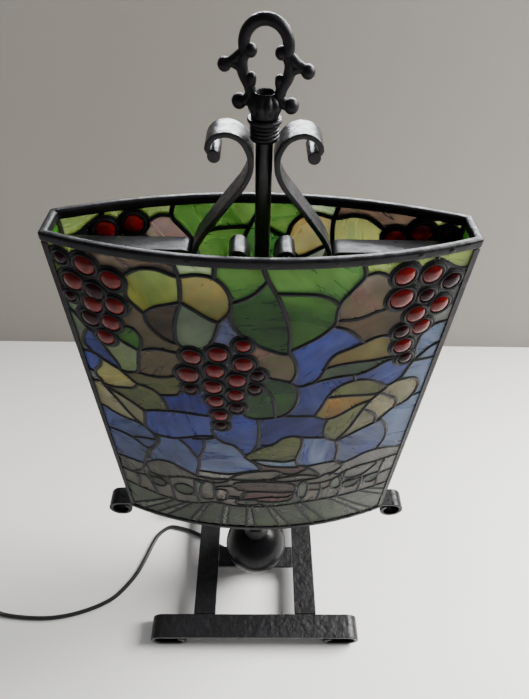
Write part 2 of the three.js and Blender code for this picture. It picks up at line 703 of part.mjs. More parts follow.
function makeCord() {
  add('cord_bushing', bored(cordRadius + 2 * gap, [
    [rodRadius, rodBottom - gap - bushingHeight], [rodRadius + 1, rodBottom - gap - 2],
    [rodRadius + 1, rodBottom - gap],
  ], 20), plastic);

  const switchLevel = switchSize[2] / 2;
  const switchEnd = switchAt[0] + switchSize[0] / 2 + gap;
  const way = [
    [0, 0, rodBottom - gap], [0, 0, rodBottom - gap - bushingHeight],
    [-2.6, 1.2, 6.2], [-10, 4.6, cordRadius + 0.4],
    ...cordWay.map(([x, y]) => [x, y, cordRadius]), [-330, -68, cordRadius + 0.9],
    [switchEnd + straight, switchAt[1], switchLevel], [switchEnd, switchAt[1], switchLevel],
  ];
  add('cord_run', roundBar(smooth(way), cordRadius, 64, 8), plastic);

  const ring = (extra) => turned([
    [coilRadius - coilHalf - extra, -extra], [coilRadius + coilHalf + extra, -extra],
    [coilRadius + coilHalf + extra, coilHeight + extra], [coilRadius - coilHalf - extra, coilHeight + extra],
    [coilRadius - coilHalf - extra, -extra],
  ], 32).translate(coilAt[0], coilAt[1], 0);
  add('cord_coil', ring(0), plastic);

  const outside = solid(ring(gap));
  const coilLevel = coilHeight / 2;
  const switchExit = switchAt[0] - switchSize[0] / 2 - gap;
  const into = smooth([
    [switchExit, switchAt[1], switchLevel], [switchExit - straight, switchAt[1], switchLevel],
    [coilAt[0] + 20, coilAt[1] + coilRadius, coilLevel], [coilAt[0] + 4, coilAt[1] + coilRadius, coilLevel],
  ]);
  add('cord_to_coil', geometryOf(solid(roundBar(into, cordRadius, 10, 8)).subtract(outside)), plastic);

  const [plugLength, plugWidth, plugHeight] = plugSize;
  const plugBack = plugAt[0] - plugLength / 2;
  const tail = smooth([
    [coilAt[0] - coilRadius, coilAt[1] + 12, coilLevel], [coilAt[0] - coilRadius, coilAt[1] + 42, 4.4],
    [coilAt[0] - coilRadius + 6, coilAt[1] + 66, 5.4], [plugBack - gap - straight, plugAt[1], plugHeight / 2],
    [plugBack - gap, plugAt[1], plugHeight / 2],
  ]);
  add('cord_tail', geometryOf(solid(roundBar(tail, cordRadius, 14, 8)).subtract(outside)), plastic);

  const plug = new THREE.Group();
  plug.position.set(plugAt[0], plugAt[1], 0);
  lamp.add(plug);
  const body = new THREE.Shape([
    [-plugLength / 2, -5], [-plugLength / 2 + 12, -plugWidth / 2], [plugLength / 2, -plugWidth / 2],
    [plugLength / 2, plugWidth / 2], [-plugLength / 2 + 12, plugWidth / 2], [-plugLength / 2, 5],
  ].map(([x, y]) => new THREE.Vector2(x, y)));
  add('plug_body', raised(body, 0, plugHeight), plastic, plug);
  for (const [name, side] of [['plug_pin_front', -1], ['plug_pin_back', 1]]) {
    const pin = new THREE.CylinderGeometry(pinRadius, pinRadius, pinLength, 10);
    pin.rotateZ(Math.PI / 2);
    pin.translate(plugLength / 2 + gap + pinLength / 2, (side * pinSpread) / 2, plugHeight / 2);
    add(name, pin, brass, plug);
  }
}

makeBase();
makeColumn();
makeShade();
makeHarp();
makeFinial();
makeLights();
makeSwitch();
makeCord();

export default lamp;
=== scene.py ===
import json
import math

import bmesh
import bpy
from mathutils import Matrix, Vector, geometry


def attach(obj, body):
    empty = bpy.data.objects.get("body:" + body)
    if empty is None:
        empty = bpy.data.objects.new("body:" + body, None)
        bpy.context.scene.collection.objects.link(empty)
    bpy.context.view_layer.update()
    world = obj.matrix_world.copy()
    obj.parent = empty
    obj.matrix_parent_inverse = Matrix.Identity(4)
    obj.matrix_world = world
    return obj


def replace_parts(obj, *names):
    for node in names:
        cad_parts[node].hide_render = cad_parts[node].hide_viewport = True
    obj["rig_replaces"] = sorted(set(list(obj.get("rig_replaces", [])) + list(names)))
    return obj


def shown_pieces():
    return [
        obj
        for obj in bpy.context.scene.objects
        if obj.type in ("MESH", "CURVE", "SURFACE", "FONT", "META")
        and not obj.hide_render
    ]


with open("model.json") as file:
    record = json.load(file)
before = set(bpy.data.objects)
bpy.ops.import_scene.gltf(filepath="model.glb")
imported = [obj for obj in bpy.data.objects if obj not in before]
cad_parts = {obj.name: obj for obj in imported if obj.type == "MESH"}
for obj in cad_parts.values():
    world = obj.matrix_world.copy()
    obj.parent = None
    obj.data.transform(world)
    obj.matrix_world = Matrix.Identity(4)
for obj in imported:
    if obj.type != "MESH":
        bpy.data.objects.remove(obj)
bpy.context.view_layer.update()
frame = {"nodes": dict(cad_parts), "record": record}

scene = bpy.context.scene
mm = 0.001
print("frame loaded")

# Camera at the fitted place.
cameraValues = {
    "place": (-0.00373, -0.28667, 0.73437),
    "right": (0.99977, -0.00406, 0.02122),
    "up": (-0.011855, 0.718135, 0.695803),
    "back": (-0.01806, -0.69589, 0.71792),
    "lens": 26.35,
    "sensor": 36.0,
}
cameraData = bpy.data.cameras.new("camera")
cameraData.lens = cameraValues["lens"]
cameraData.sensor_width = cameraValues["sensor"]
cameraData.clip_start = 0.01
camera = bpy.data.objects.new("camera", cameraData)
axes = Matrix([cameraValues["right"], cameraValues["up"], cameraValues["back"]]).transposed()
camera.matrix_world = Matrix.Translation(cameraValues["place"]) @ axes.to_4x4()
scene.collection.objects.link(camera)
scene.camera = camera


# Materials, each from one Principled shader and the nodes that drive it.

class Look:
    def __init__(self, name, base, roughness, metallic=0.0, coat=0.0):
        self.material = bpy.data.materials.new(name)
        self.material.use_nodes = True
        self.nodes = self.material.node_tree.nodes
        self.links = self.material.node_tree.links
        self.shader = next(n for n in self.nodes if n.type == "BSDF_PRINCIPLED")
        self.set("Base Color", (*base, 1))
        self.set("Roughness", roughness)
        self.set("Metallic", metallic)
        self.set("Coat Weight", coat)
        self.set("Coat Roughness", 0.08)
        self.material.diffuse_color = (*base, 1)
        self.spot = None

    def set(self, socket, value):
        self.shader.inputs[socket].default_value = value

    def node(self, kind, inputs=None, **settings):
        made = self.nodes.new(kind)
        for key, value in settings.items():
            setattr(made, key, value)
        for key, value in (inputs or {}).items():
            if isinstance(value, bpy.types.NodeSocket):
                self.links.new(value, made.inputs[key])
            else:
                made.inputs[key].default_value = value
        return made

    def place(self):
        if self.spot is None:
            self.spot = self.node("ShaderNodeTexCoord").outputs["Object"]
        return self.spot

    def noise(self, scale, detail=3.0, vector=None, distortion=0.0):
        made = self.node("ShaderNodeTexNoise", {
            "Vector": vector or self.place(), "Scale": scale, "Detail": detail, "Distortion": distortion,
        })
        return made.outputs["Fac"]

    def spread(self, value, low, high, fromLow=0.3, fromHigh=0.7):
        made = self.node("ShaderNodeMapRange", {
            "Value": value, "From Min": fromLow, "From Max": fromHigh, "To Min": low, "To Max": high,
        })
        return made.outputs["Result"]

    def mixed(self, factor, first, second, blend="MIX"):
        made = self.node("ShaderNodeMix", data_type="RGBA", blend_type=blend)
        for index, value in ((0, factor), (6, first), (7, second)):
            if isinstance(value, bpy.types.NodeSocket):
                self.links.new(value, made.inputs[index])
            elif index == 0:
                made.inputs[index].default_value = value
            else:
                made.inputs[index].default_value = (*value, 1)
        return made.outputs[2]

    def maths(self, kind, first, second=0.0):
        return self.node("ShaderNodeMath", {0: first, 1: second}, operation=kind).outputs[0]

    def drive(self, socket, value):
        self.links.new(value, self.shader.inputs[socket])

    def bump(self, height, strength, distance):
        made = self.node("ShaderNodeBump", {
            "Height": height, "Strength": strength, "Distance": distance,
        })
        self.drive("Normal", made.outputs["Normal"])


def paintedIron(name, base, rough, dents, dentSize, shine=0.4):
    look = Look(name, base, rough)
    look.set("Specular IOR Level", shine)
    grain = look.noise(260, 4)
    broad = look.noise(38, 3)
    look.drive("Roughness", look.spread(grain, rough - 0.08, rough + 0.12))
    worn = look.mixed(look.spread(broad, 0.0, 0.6, 0.45, 0.75), base, tuple(2.2 * c for c in base))
    look.drive("Base Color", worn)
    look.bump(look.maths("ADD", look.noise(dentSize, 2), look.maths("MULTIPLY", grain, 0.25)), dents, 0.0012)
    return look.material


iron = paintedIron("wroughtIron", (0.005, 0.005, 0.006), 0.34, 0.7, 75, 0.24)
baseIron = paintedIron("baseIron", (0.006, 0.006, 0.007), 0.4, 1.0, 110, 0.3)
castIron = paintedIron("castIron", (0.005, 0.005, 0.006), 0.4, 0.4, 180, 0.12)


def glossBlack():
    look = Look("glossBlack", (0.005, 0.005, 0.006), 0.28)
    look.set("Specular IOR Level", 0.16)
    look.drive("Roughness", look.spread(look.noise(60), 0.24, 0.34))
    look.bump(look.noise(30, 2), 0.08, 0.001)
    return look.material


def leadCame():
    look = Look("leadCame", (0.004, 0.004, 0.005), 0.4)
    look.set("Specular IOR Level", 0.12)
    patches = look.noise(70, 4)
    share = look.spread(patches, 0, 1, 0.4, 0.8)
    look.drive("Base Color", look.mixed(share, (0.004, 0.004, 0.005), (0.012, 0.012, 0.013)))
    look.drive("Roughness", look.spread(look.noise(190), 0.26, 0.5))
    look.bump(look.noise(160, 3), 0.5, 0.0009)
    return look.material


def plainMetal(name, base, rough):
    look = Look(name, base, rough, metallic=1.0)
    look.drive("Roughness", look.spread(look.noise(320), rough - 0.06, rough + 0.1))
    look.bump(look.noise(420), 0.1, 0.0004)
    return look.material


def plastic(name, base, rough):
    look = Look(name, base, rough)
    look.drive("Roughness", look.spread(look.noise(240), rough - 0.06, rough + 0.08))
    look.bump(look.noise(900, 2), 0.12, 0.0003)
    return look.material


def jewelGlass(name, base, deep, clear):
    look = Look(name, base, 0.09)
    look.set("Specular IOR Level", 0.06)
    look.drive("Base Color", look.mixed(look.spread(look.noise(120, 2), 0, 1), base, deep))
    look.set("Transmission Weight", clear)
    look.set("Subsurface Weight", 1.0)
    look.set("Subsurface Radius", (1, 1, 1))
    look.set("Subsurface Scale", 0.008)
    look.set("IOR", 1.38)
    look.bump(look.noise(150, 2), 0.12, 0.001)
    return look.material


def artGlass():
    look = Look("artGlass", (0.1, 0.2, 0.3), 0.3)
    tint = look.node("ShaderNodeAttribute", attribute_name="tint").outputs["Color"]
    swirl = look.node("ShaderNodeAttribute", attribute_name="swirl").outputs["Color"]
    grain = look.node("ShaderNodeSeparateXYZ", {
        0: look.node("ShaderNodeAttribute", attribute_name="grain").outputs["Vector"],
    })
    spot = look.node("ShaderNodeSeparateXYZ", {0: look.place()})
    x, z = spot.outputs["X"], spot.outputs["Z"]
    turnX, turnZ, luck = grain.outputs["X"], grain.outputs["Y"], grain.outputs["Z"]
    along = look.maths("ADD", look.maths("MULTIPLY", x, turnX), look.maths("MULTIPLY", z, turnZ))
    across = look.maths("SUBTRACT", look.maths("MULTIPLY", z, turnX), look.maths("MULTIPLY", x, turnZ))
    way = look.node("ShaderNodeCombineXYZ", {
        "X": look.maths("MULTIPLY", along, 14.0),
        "Y": look.maths("MULTIPLY", across, 62.0),
        "Z": look.maths("MULTIPLY", luck, 40.0),
    }).outputs["Vector"]
    streaks = look.noise(1.0, 3, way, 0.9)
    cloudy = look.noise(45, 3)
    streaky = look.mixed(look.spread(streaks, 0, 1, 0.38, 0.66), tint, swirl)
    light = look.spread(cloudy, 0.48, 0.92)
    shade = look.maths("MULTIPLY", light, look.spread(luck, 0.82, 1.16, 0, 1))
    value = look.node("ShaderNodeCombineXYZ", {"X": shade, "Y": shade, "Z": shade}).outputs["Vector"]
    look.drive("Base Color", look.mixed(1.0, streaky, value, "MULTIPLY"))
    look.drive("Roughness", look.spread(streaks, 0.22, 0.4))
    look.set("Transmission Weight", 0.6)
    look.set("Subsurface Weight", 1.0)
    look.set("Subsurface Radius", (1, 1, 1))
    look.set("Subsurface Scale", 0.012)
    look.set("Specular IOR Level", 0.12)
    look.set("IOR", 1.25)
    leanX = look.maths("MULTIPLY", look.maths("SINE", look.maths("MULTIPLY", luck, 61.0)), 0.03)
    leanZ = look.maths("MULTIPLY", look.maths("SINE", look.maths("MULTIPLY", luck, 97.0)), 0.03)
    lean = look.maths("ADD", look.maths("MULTIPLY", x, leanX), look.maths("MULTIPLY", z, leanZ))
    ripple = look.maths("MULTIPLY", look.noise(40, 2, distortion=0.3), 0.0007)
    look.bump(look.maths("ADD", lean, ripple), 0.55, 1.0)
    return look.material


gloss = glossBlack()
lead = leadCame()
steel = plainMetal("steel", (0.42, 0.43, 0.45), 0.34)
brass = plainMetal("brass", (0.6, 0.44, 0.18), 0.3)
blackPlastic = plastic("blackPlastic", (0.012, 0.012, 0.013), 0.42)
bakelite = plastic("bakelite", (0.03, 0.026, 0.024), 0.3)
bulbWhite = plastic("bulbWhite", (0.85, 0.82, 0.76), 0.28)
redJewel = jewelGlass("redJewel", (0.26, 0.006, 0.005), (0.14, 0.003, 0.003), 0.6)
darkJewel = jewelGlass("darkJewel", (0.035, 0.003, 0.005), (0.012, 0.002, 0.003), 0.3)
leafGlass = artGlass()
print("materials made")


# Making pieces: shapes are drawn in millimetres.

def placed(name, mesh, materials, body, nodes=(), sharp=35):
    piece = bpy.data.objects.new(name, mesh)
    scene.collection.objects.link(piece)
    mesh.materials.clear()
    for material in materials if isinstance(materials, list) else [materials]:
        mesh.materials.append(material)
    mesh.shade_smooth()
    mesh.set_sharp_from_angle(angle=math.radians(sharp))
    if sharp < 50:
        even = piece.modifiers.new("even", "WEIGHTED_NORMAL")
        even.keep_sharp = True
    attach(piece, body)
    if nodes:
        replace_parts(piece, *nodes)
    return piece


def meshOf(bm, name, outward=True):
    if outward:
        bmesh.ops.recalc_face_normals(bm, faces=bm.faces)
    bmesh.ops.scale(bm, vec=(mm, mm, mm), verts=bm.verts)
    mesh = bpy.data.meshes.new(name)
    bm.to_mesh(mesh)
    bm.free()
    return mesh


# A mesh after modifiers, each given as (kind, settings).
def refined(mesh, *modifiers):
    holder = bpy.data.objects.new("holder", mesh)
    scene.collection.objects.link(holder)
    for kind, settings in modifiers:
        made = holder.modifiers.new(kind, kind)
        for key, value in settings.items():
            setattr(made, key, value)
    bpy.context.view_layer.update()
    result = bpy.data.meshes.new_from_object(holder.evaluated_get(bpy.context.evaluated_depsgraph_get()))
    bpy.data.objects.remove(holder)
    result.name = mesh.name
    return result


def newVerts(bm, operation, **settings):
    return operation(bm, **settings)["verts"]


# Points along a smooth curve through the given ones, about a step apart.
def smoothLine(points, step):
    points = [Vector(p) for p in points]
    ends = [2 * points[0] - points[1], *points, 2 * points[-1] - points[-2]]
    line = []
    for before, start, end, after in zip(ends, ends[1:], ends[2:], ends[3:]):
        count = max(1, round((end - start).length / step))
        knots = [0.0]
        for a, b in ((before, start), (start, end), (end, after)):
            knots.append(knots[-1] + max((b - a).length, 1e-6) ** 0.5)
        for i in range(count):
            t = knots[1] + (knots[2] - knots[1]) * i / count
            a1 = before.lerp(start, (t - knots[0]) / (knots[1] - knots[0]))
            a2 = start.lerp(end, (t - knots[1]) / (knots[2] - knots[1]))
            a3 = end.lerp(after, (t - knots[2]) / (knots[3] - knots[2]))
            b1 = a1.lerp(a2, (t - knots[0]) / (knots[2] - knots[0]))
            b2 = a2.lerp(a3, (t - knots[1]) / (knots[3] - knots[1]))
            line.append(b1.lerp(b2, (t - knots[1]) / (knots[2] - knots[1])))
    line.append(points[-1])
    return line


# Round bars along lines, as one mesh.
def barsMesh(name, lines, radius, sides=3, loops=()):
    data = bpy.data.curves.new(name, "CURVE")
    data.dimensions = "3D"
    data.bevel_depth = radius * mm
    data.bevel_resolution = sides
    data.use_fill_caps = True
    for line, closed in [(line, False) for line in lines] + [(loop, True) for loop in loops]:
        spline = data.splines.new("POLY")
        spline.points.add(len(line) - 1)
        for point, at in zip(spline.points, line):
            point.co = (*(Vector(at) * mm), 1)
        spline.use_cyclic_u = closed
    holder = bpy.data.objects.new(name, data)
    scene.collection.objects.link(holder)
    bpy.context.view_layer.update()
    mesh = bpy.data.meshes.new_from_object(holder.evaluated_get(bpy.context.evaluated_depsgraph_get()))
    bpy.data.objects.remove(holder)
    mesh.name = name
    return mesh


# A piece turned about the rod's axis: (radius, height) pairs up the outside.
def turnedBm(profile, steps=64, centre=(0, 0)):
    bm = bmesh.new()
    verts = [bm.verts.new((radius, 0, height)) for radius, height in profile]
    edges = [bm.edges.new(pair) for pair in zip(verts, verts[1:])]
    bmesh.ops.spin(
        bm, geom=[*verts, *edges], cent=(0, 0, 0), axis=(0, 0, 1), dvec=(0, 0, 0),
        angle=2 * math.pi, steps=steps, use_merge=True, use_duplicate=False,
    )
    bmesh.ops.remove_doubles(bm, verts=bm.verts, dist=1e-4)
    bmesh.ops.translate(bm, verts=bm.verts, vec=(*centre, 0))
    return bm


def turnedPiece(name, profile, material, body, nodes=(), steps=64, centre=(0, 0), sharp=35):
    return placed(name, meshOf(turnedBm(profile, steps, centre), name), material, body, nodes, sharp)


def arcLine(centreX, centreZ, radius, start, end, steps):
    turns = [math.radians(start + (end - start) * i / steps) for i in range(steps + 1)]
    return [(centreX + radius * math.cos(t), centreZ + radius * math.sin(t)) for t in turns]


# A flat bar of even thickness along a line of (x, z) points.
def flatBarMesh(name, line, width, thickness, centreY=0.0, edge=0.9):
    bm = bmesh.new()
    verts = [bm.verts.new((x, centreY - width / 2, z)) for x, z in line]
    edges = [bm.edges.new(pair) for pair in zip(verts, verts[1:])]
    grown = bmesh.ops.extrude_edge_only(bm, edges=edges)["geom"]
    bmesh.ops.translate(bm, verts=[v for v in grown if isinstance(v, bmesh.types.BMVert)], vec=(0, width, 0))
    return refined(
        meshOf(bm, name),
        ("SOLIDIFY", {"thickness": thickness * mm, "offset": 0, "use_even_offset": True}),
        ("BEVEL", {
            "width": edge * mm, "segments": 2, "limit_method": "ANGLE", "angle_limit": math.radians(50),
        }),
    )


def joined(name, *meshes):
    bm = bmesh.new()
    for mesh in meshes:
        bm.from_mesh(mesh)
    mesh = bpy.data.meshes.new(name)
    bm.to_mesh(mesh)
    bm.free()
    return mesh


def roundedBlock(name, size, centre, corner, edge):
    bm = bmesh.new()
    verts = newVerts(bm, bmesh.ops.create_cube, size=1)
    bmesh.ops.scale(bm, vec=size, verts=verts)
    upright = [e for e in bm.edges if abs(e.verts[0].co.z - e.verts[1].co.z) > size[2] / 2]
    bmesh.ops.bevel(bm, geom=upright, offset=corner, segments=6, profile=0.5, affect="EDGES", material=-1)
    rims = [e for e in bm.edges if len(e.link_faces) == 2 and e.calc_face_angle(0) > 0.8]
    bmesh.ops.bevel(bm, geom=rims, offset=edge, segments=3, profile=0.5, affect="EDGES", material=-1)
    bmesh.ops.translate(bm, verts=bm.verts, vec=centre)
    return meshOf(bm, name)


# Base

baseValues = {"top": 28, "thick": 5, "width": 27.5, "reach": 128.5, "spread": 87.5, "side": 64.5}


def rolledLine(half, level, outer, run, tuck, tuckTurn):
    turnX = half - outer
    right = [(x * turnX / 6, level) for x in range(1, 6)]
    right += arcLine(turnX, level - outer, outer, 90, -90, 16)
    if run:
        right.append((turnX - run / 2, level - 2 * outer))
    right += arcLine(turnX - run, level - 2 * outer + tuck, tuck, -90, -90 - tuckTurn, 14)[0 if run else 1:]
    return [(-x, z) for x, z in reversed(right)] + [(0, level)] + right


def makeBase():
    v = baseValues
    level = v["top"] - v["thick"] / 2
    line = rolledLine(v["reach"], level, (v["top"] - v["thick"]) / 2, 20, 7.5, 180)
    for name, side in (("front", -1), ("back", 1)):
        mesh = flatBarMesh("footBar_" + name, line, v["width"], v["thick"], side * v["spread"], 1.1)
        placed("footBar_" + name, mesh, baseIron, "stand", ["foot_bar_" + name])
    length = 2 * v["spread"] - v["width"] - 0.6
    for name, side in (("left", -1), ("right", 1)):
        mesh = roundedBlock(
            "sideBar_" + name, (v["width"], length, v["thick"]), (side * v["side"], 0, level), 0.8, 0.9,
        )
        placed("sideBar_" + name, mesh, baseIron, "stand", ["side_bar_" + name])
    length = 2 * v["side"] - v["width"] - 0.6
    line = [(-length / 2, level), (0, level), (length / 2, level)]
    mesh = flatBarMesh("crossBar", line, v["width"], v["thick"])
    placed("crossBar", boredMesh(mesh, 5.35, level), baseIron, "stand", ["cross_bar"])


# A mesh with an upright hole on the rod's axis.
def boredMesh(mesh, radius, level, depth=40):
    bm = bmesh.new()
    bmesh.ops.create_cone(bm, cap_ends=True, segments=32, radius1=radius, radius2=radius, depth=depth)
    bmesh.ops.translate(bm, verts=bm.verts, vec=(0, 0, level))
    cutter = bpy.data.objects.new("cutter", meshOf(bm, "cutter"))
    scene.collection.objects.link(cutter)
    result = refined(mesh, ("BOOLEAN", {"operation": "DIFFERENCE", "object": cutter, "solver": "EXACT"}))
    bpy.data.objects.remove(cutter)
    return result


makeBase()
print("base made")


# Column

columnValues = {"bore": 5.35, "ball": 38.5, "centre": 75, "collar": 17, "neck": 15, "sleeve": 9}


def makeColumn():
    v = columnValues
    bore = v["bore"]
    flat = math.asin((bore + 3) / v["ball"])
    low = v["centre"] - v["ball"] * math.cos(flat)
    high = 2 * v["centre"] - low
    turnedPiece("ballCollar", [
        (bore, 28.3), (v["collar"] - 0.6, 28.3), (v["collar"], 28.9), (v["collar"], 30.3),
        (v["collar"] - 0.7, 31.2), (v["collar"] - 3.4, 32), (v["collar"] - 4, 33),
        (v["collar"] - 4, low - 1), (v["collar"] - 4.6, low - 0.3), (bore, low - 0.3), (bore, 28.3),
    ], gloss, "stand", ["ball_collar"])
    steps = 40
    profile = [(bore, low)]
    for i in range(steps + 1):
        turn = -math.pi / 2 + flat + i / steps * (math.pi - 2 * flat)
        profile.append((v["ball"] * math.cos(turn), v["centre"] + v["ball"] * math.sin(turn)))
    profile += [(bore, high), (bore, low)]
    turnedPiece("columnBall", profile, gloss, "stand", ["column_ball"], 80)
    foot = high + 0.3
    turnedPiece("columnNeck", [
        (bore, foot), (v["neck"] - 0.5, foot), (v["neck"], foot + 0.6), (v["neck"], foot + 2.4),
        (v["neck"] - 0.8, foot + 3.4), (12.4, foot + 6.5), (10.6, foot + 11), (10, foot + 15),
        (10.6, foot + 19), (11.6, foot + 22), (12, foot + 23.4), (12, foot + 25.4), (11.5, foot + 26),
        (bore, foot + 26), (bore, foot),
    ], gloss, "stand", ["column_neck"])
    turnedPiece("columnSleeve", [
        (bore, foot + 26.3), (v["sleeve"], foot + 26.3), (v["sleeve"], 194.4), (bore, 194.4),
        (bore, foot + 26.3),
    ], iron, "stand", ["column_sleeve"], 40)
    arm = flatBarMesh("lowerArm", rolledLine(166, 196.7, 11.5, 0, 10, 143), 20, 4, 0, 1)
    placed("lowerArm", boredMesh(arm, bore, 196.7, 16), iron, "stand", ["lower_arm"])


makeColumn()
print("column made")


# Harp and finial

harpValues = {
    "top": 539, "neck": 7.55, "scrollWidth": 20, "scrollThick": 3.4, "tip": 3.8, "armWidth": 16,
    "armThick": 4,
    "armFoot": 48.95, "armEnd": 133.6,
    "scroll": [
        (20.8, 64.2), (24.3, 68.3), (21, 74.2), (13.4, 76.4), (6, 73.6), (1.7, 67.5), (0, 61), (0.7, 54),
        (4.4, 46), (12, 36), (23.4, 21), (31, 10.5), (36, 1), (37.7, -8), (35.4, -18), (28.4, -24.8),
        (19.4, -26.8), (9.9, -24), (3.4, -17), (2.2, -8), (5.6, -1.3), (10.8, -0.8), (13.4, -4.8),
    ],
}


def makeHarp():
    v = harpValues
    for name, side in (("left", -1), ("right", 1)):
        line = smoothLine([(side * (v["neck"] + out), v["top"] + up) for out, up in v["scroll"]], 2.0)
        points = [tuple(p) for p in line]
        strip = flatBarMesh("scroll_" + name, points, v["scrollWidth"], v["scrollThick"], 0, 0.9)
        bm = bmesh.new()
        bmesh.ops.create_cone(
            bm, cap_ends=True, segments=28, radius1=v["tip"], radius2=v["tip"], depth=v["scrollWidth"] + 0.6,
        )
        bmesh.ops.bevel(
            bm, geom=[e for e in bm.edges if e.calc_face_angle(0) > 1], offset=0.7, segments=2, profile=0.5,
            affect="EDGES", material=-1,
        )
        bmesh.ops.rotate(bm, verts=bm.verts, cent=(0, 0, 0), matrix=Matrix.Rotation(math.pi / 2, 3, "X"))
        bmesh.ops.translate(bm, verts=bm.verts, vec=(line[0].x, 0, line[0].y))
        mesh = joined("scroll_" + name, strip, meshOf(bm, "tip"))
        placed("scroll_" + name + "_bar", mesh, iron, "harp", ["scroll_" + name])
        bend = 3
        level = v["top"] - v["armThick"] / 2
        arm = [(v["armFoot"], v["top"] - 13), (v["armFoot"], level - bend - 3)]
        arm += arcLine(v["armFoot"] + bend, level - bend, bend, 180, 90, 6)
        straight = v["armEnd"] - v["armFoot"] - bend
        arm += [(v["armFoot"] + bend + k * straight / 5, level) for k in range(1, 6)]
        mesh = flatBarMesh("upperArm", [(side * x, z) for x, z in arm], v["armWidth"], v["armThick"], 0, 0.9)
        placed("upperArm_" + name, mesh, iron, "harp", ["upper_arm_" + name])
    foot = 609.5
    ribs = [(5.35, foot), (7.6, foot), (8.2, foot + 0.7)]
    for k in range(4):
        low = foot + 0.9 + k * 2.1
        ribs += [(7.7, low), (8.35, low + 0.5), (8.45, low + 1.05), (8.35, low + 1.6)]
    ribs += [
        (8.0, foot + 9.5), (9.4, foot + 9.9), (9.8, foot + 10.6), (9.8, foot + 11.5), (9.3, foot + 12.1),
        (5.35, foot + 12.1), (5.35, foot),
    ]
    turnedPiece("harpCollar", ribs, castIron, "harp", ["harp_collar"], 40)


finialValues = {
    "foot": 621.9, "yaw": -12, "wire": 3.1, "archRadius": 11.5, "archRise": 34.8, "ribs": 11,
    "ribDepth": 0.075,
    "cup": [
        (0, 0), (7.6, 0), (7.9, 0.5), (7.8, 1.5), (8.2, 2.8), (8.9, 4.6), (9.3, 6.5), (9.2, 8.0),
        (8.5, 9.6), (7.5, 11.0), (6.5, 12.3), (5.8, 13), (5.2, 12.8), (4.8, 11.4), (4.5, 9.2),
        (0, 8.8),
    ],
}


def makeFinial():
    v = finialValues
    bm = turnedBm(v["cup"], 88)
    for vert in bm.verts:
        flute = math.sin(math.pi * min(max((vert.co.z - 1.6) / 11.4, 0), 1))
        turn = math.atan2(vert.co.y, vert.co.x)
        swell = 1 + v["ribDepth"] * flute * (abs(math.cos(turn * v["ribs"] / 2)) * 2 - 1.2)
        if vert.co.xy.length > 6.5:
            vert.co.xy *= swell
    rise = v["archRise"]
    arch = []
    for i in range(33):
        turn = math.pi * (-0.13 + 1.26 * i / 32)
        arch.append((v["archRadius"] * math.cos(turn), 0, rise + v["archRadius"] * math.sin(turn)))
    bars, balls = [arch], []
    thin = []
    for side in (-1, 1):
        twig = [(side * 10.6, 0, 31), (side * 13, 0, 29.9), (side * 17, 0, 26.8), (side * 21.6, 0, 24.7)]
        thin.append(smoothLine(twig, 1))
        bars.append(smoothLine([
            (side * 10.4, 0, 32), (side * 12.6, 0, 27.1), (side * 12, 0, 21.4), (side * 9, 0, 15.7),
            (side * 7.4, 0, 10.5),
        ], 1))
        bars.append(smoothLine([(side * 7.4, 0, 10.9), (side * 10.4, 0, 8), (side * 14, 0, 7.2)], 1))
        thin.append(smoothLine([(side * 11.9, 0, 22), (side * 14.2, 0, 24.6), (side * 17.5, 0, 26)], 1))
        thin.append(smoothLine([(side * 9, 0, 14.5), (side * 7.8, 0, 17.5), (side * 7.6, 0, 19.6)], 1))
        balls += [(side * 7.6, 19.4, 2.7), (side * 8, 32, 3.4), (side * 22, 24.5, 3.7), (side * 14.3, 7, 4.2)]
    shapes = [barsMesh("loop", bars, v["wire"], 4), barsMesh("twigs", thin, v["wire"] - 0.3, 4)]
    for x, z, radius in balls:
        bead = bmesh.new()
        bmesh.ops.create_uvsphere(bead, u_segments=24, v_segments=14, radius=radius)
        bmesh.ops.translate(bead, verts=bead.verts, vec=(x, 0, z))
        shapes.append(meshOf(bead, "bead"))
    mesh = joined("finialLoop", meshOf(bm, "cup"), *shapes)
    turned = Matrix.Rotation(math.radians(v["yaw"]), 4, "Z")
    mesh.transform(Matrix.Translation((0, 0, v["foot"] * mm)) @ turned)
    placed("finialLoop", mesh, castIron, "finial", ["finial"], 50)


makeHarp()
makeFinial()
print("harp and finial made")


# Shade

shadeValues = {
    "width": 280, "depth": 82.2, "endDepth": 28.4, "height": 356, "bottom": 199, "glass": 2.6,
    "middle": 2.8,
    "half": 134.7, "low": 7.3, "high": 348.7, "came": 2.15, "cell": 6.5, "rimHeight": 7, "rimWidth": 5.6,
    "cameReach": 134.9, "cameLow": 5, "cameHigh": 351,
}
sagitta = (shadeValues["depth"] - shadeValues["endDepth"]) / 2
panelRadius = (sagitta ** 2 + (shadeValues["width"] / 2) ** 2) / (2 * sagitta)
panelCentre = shadeValues["depth"] / 2 - panelRadius


def outlineDepth(x, inset):
    return panelCentre + math.sqrt((panelRadius - inset) ** 2 - x ** 2)


# Front panel: across from the middle, up from the shade's bottom, and out from the middle of the glass.
def frontPlace(u, v, out=0.0):
    return (u, -outlineDepth(u, shadeValues["middle"] - out), shadeValues["bottom"] + v)


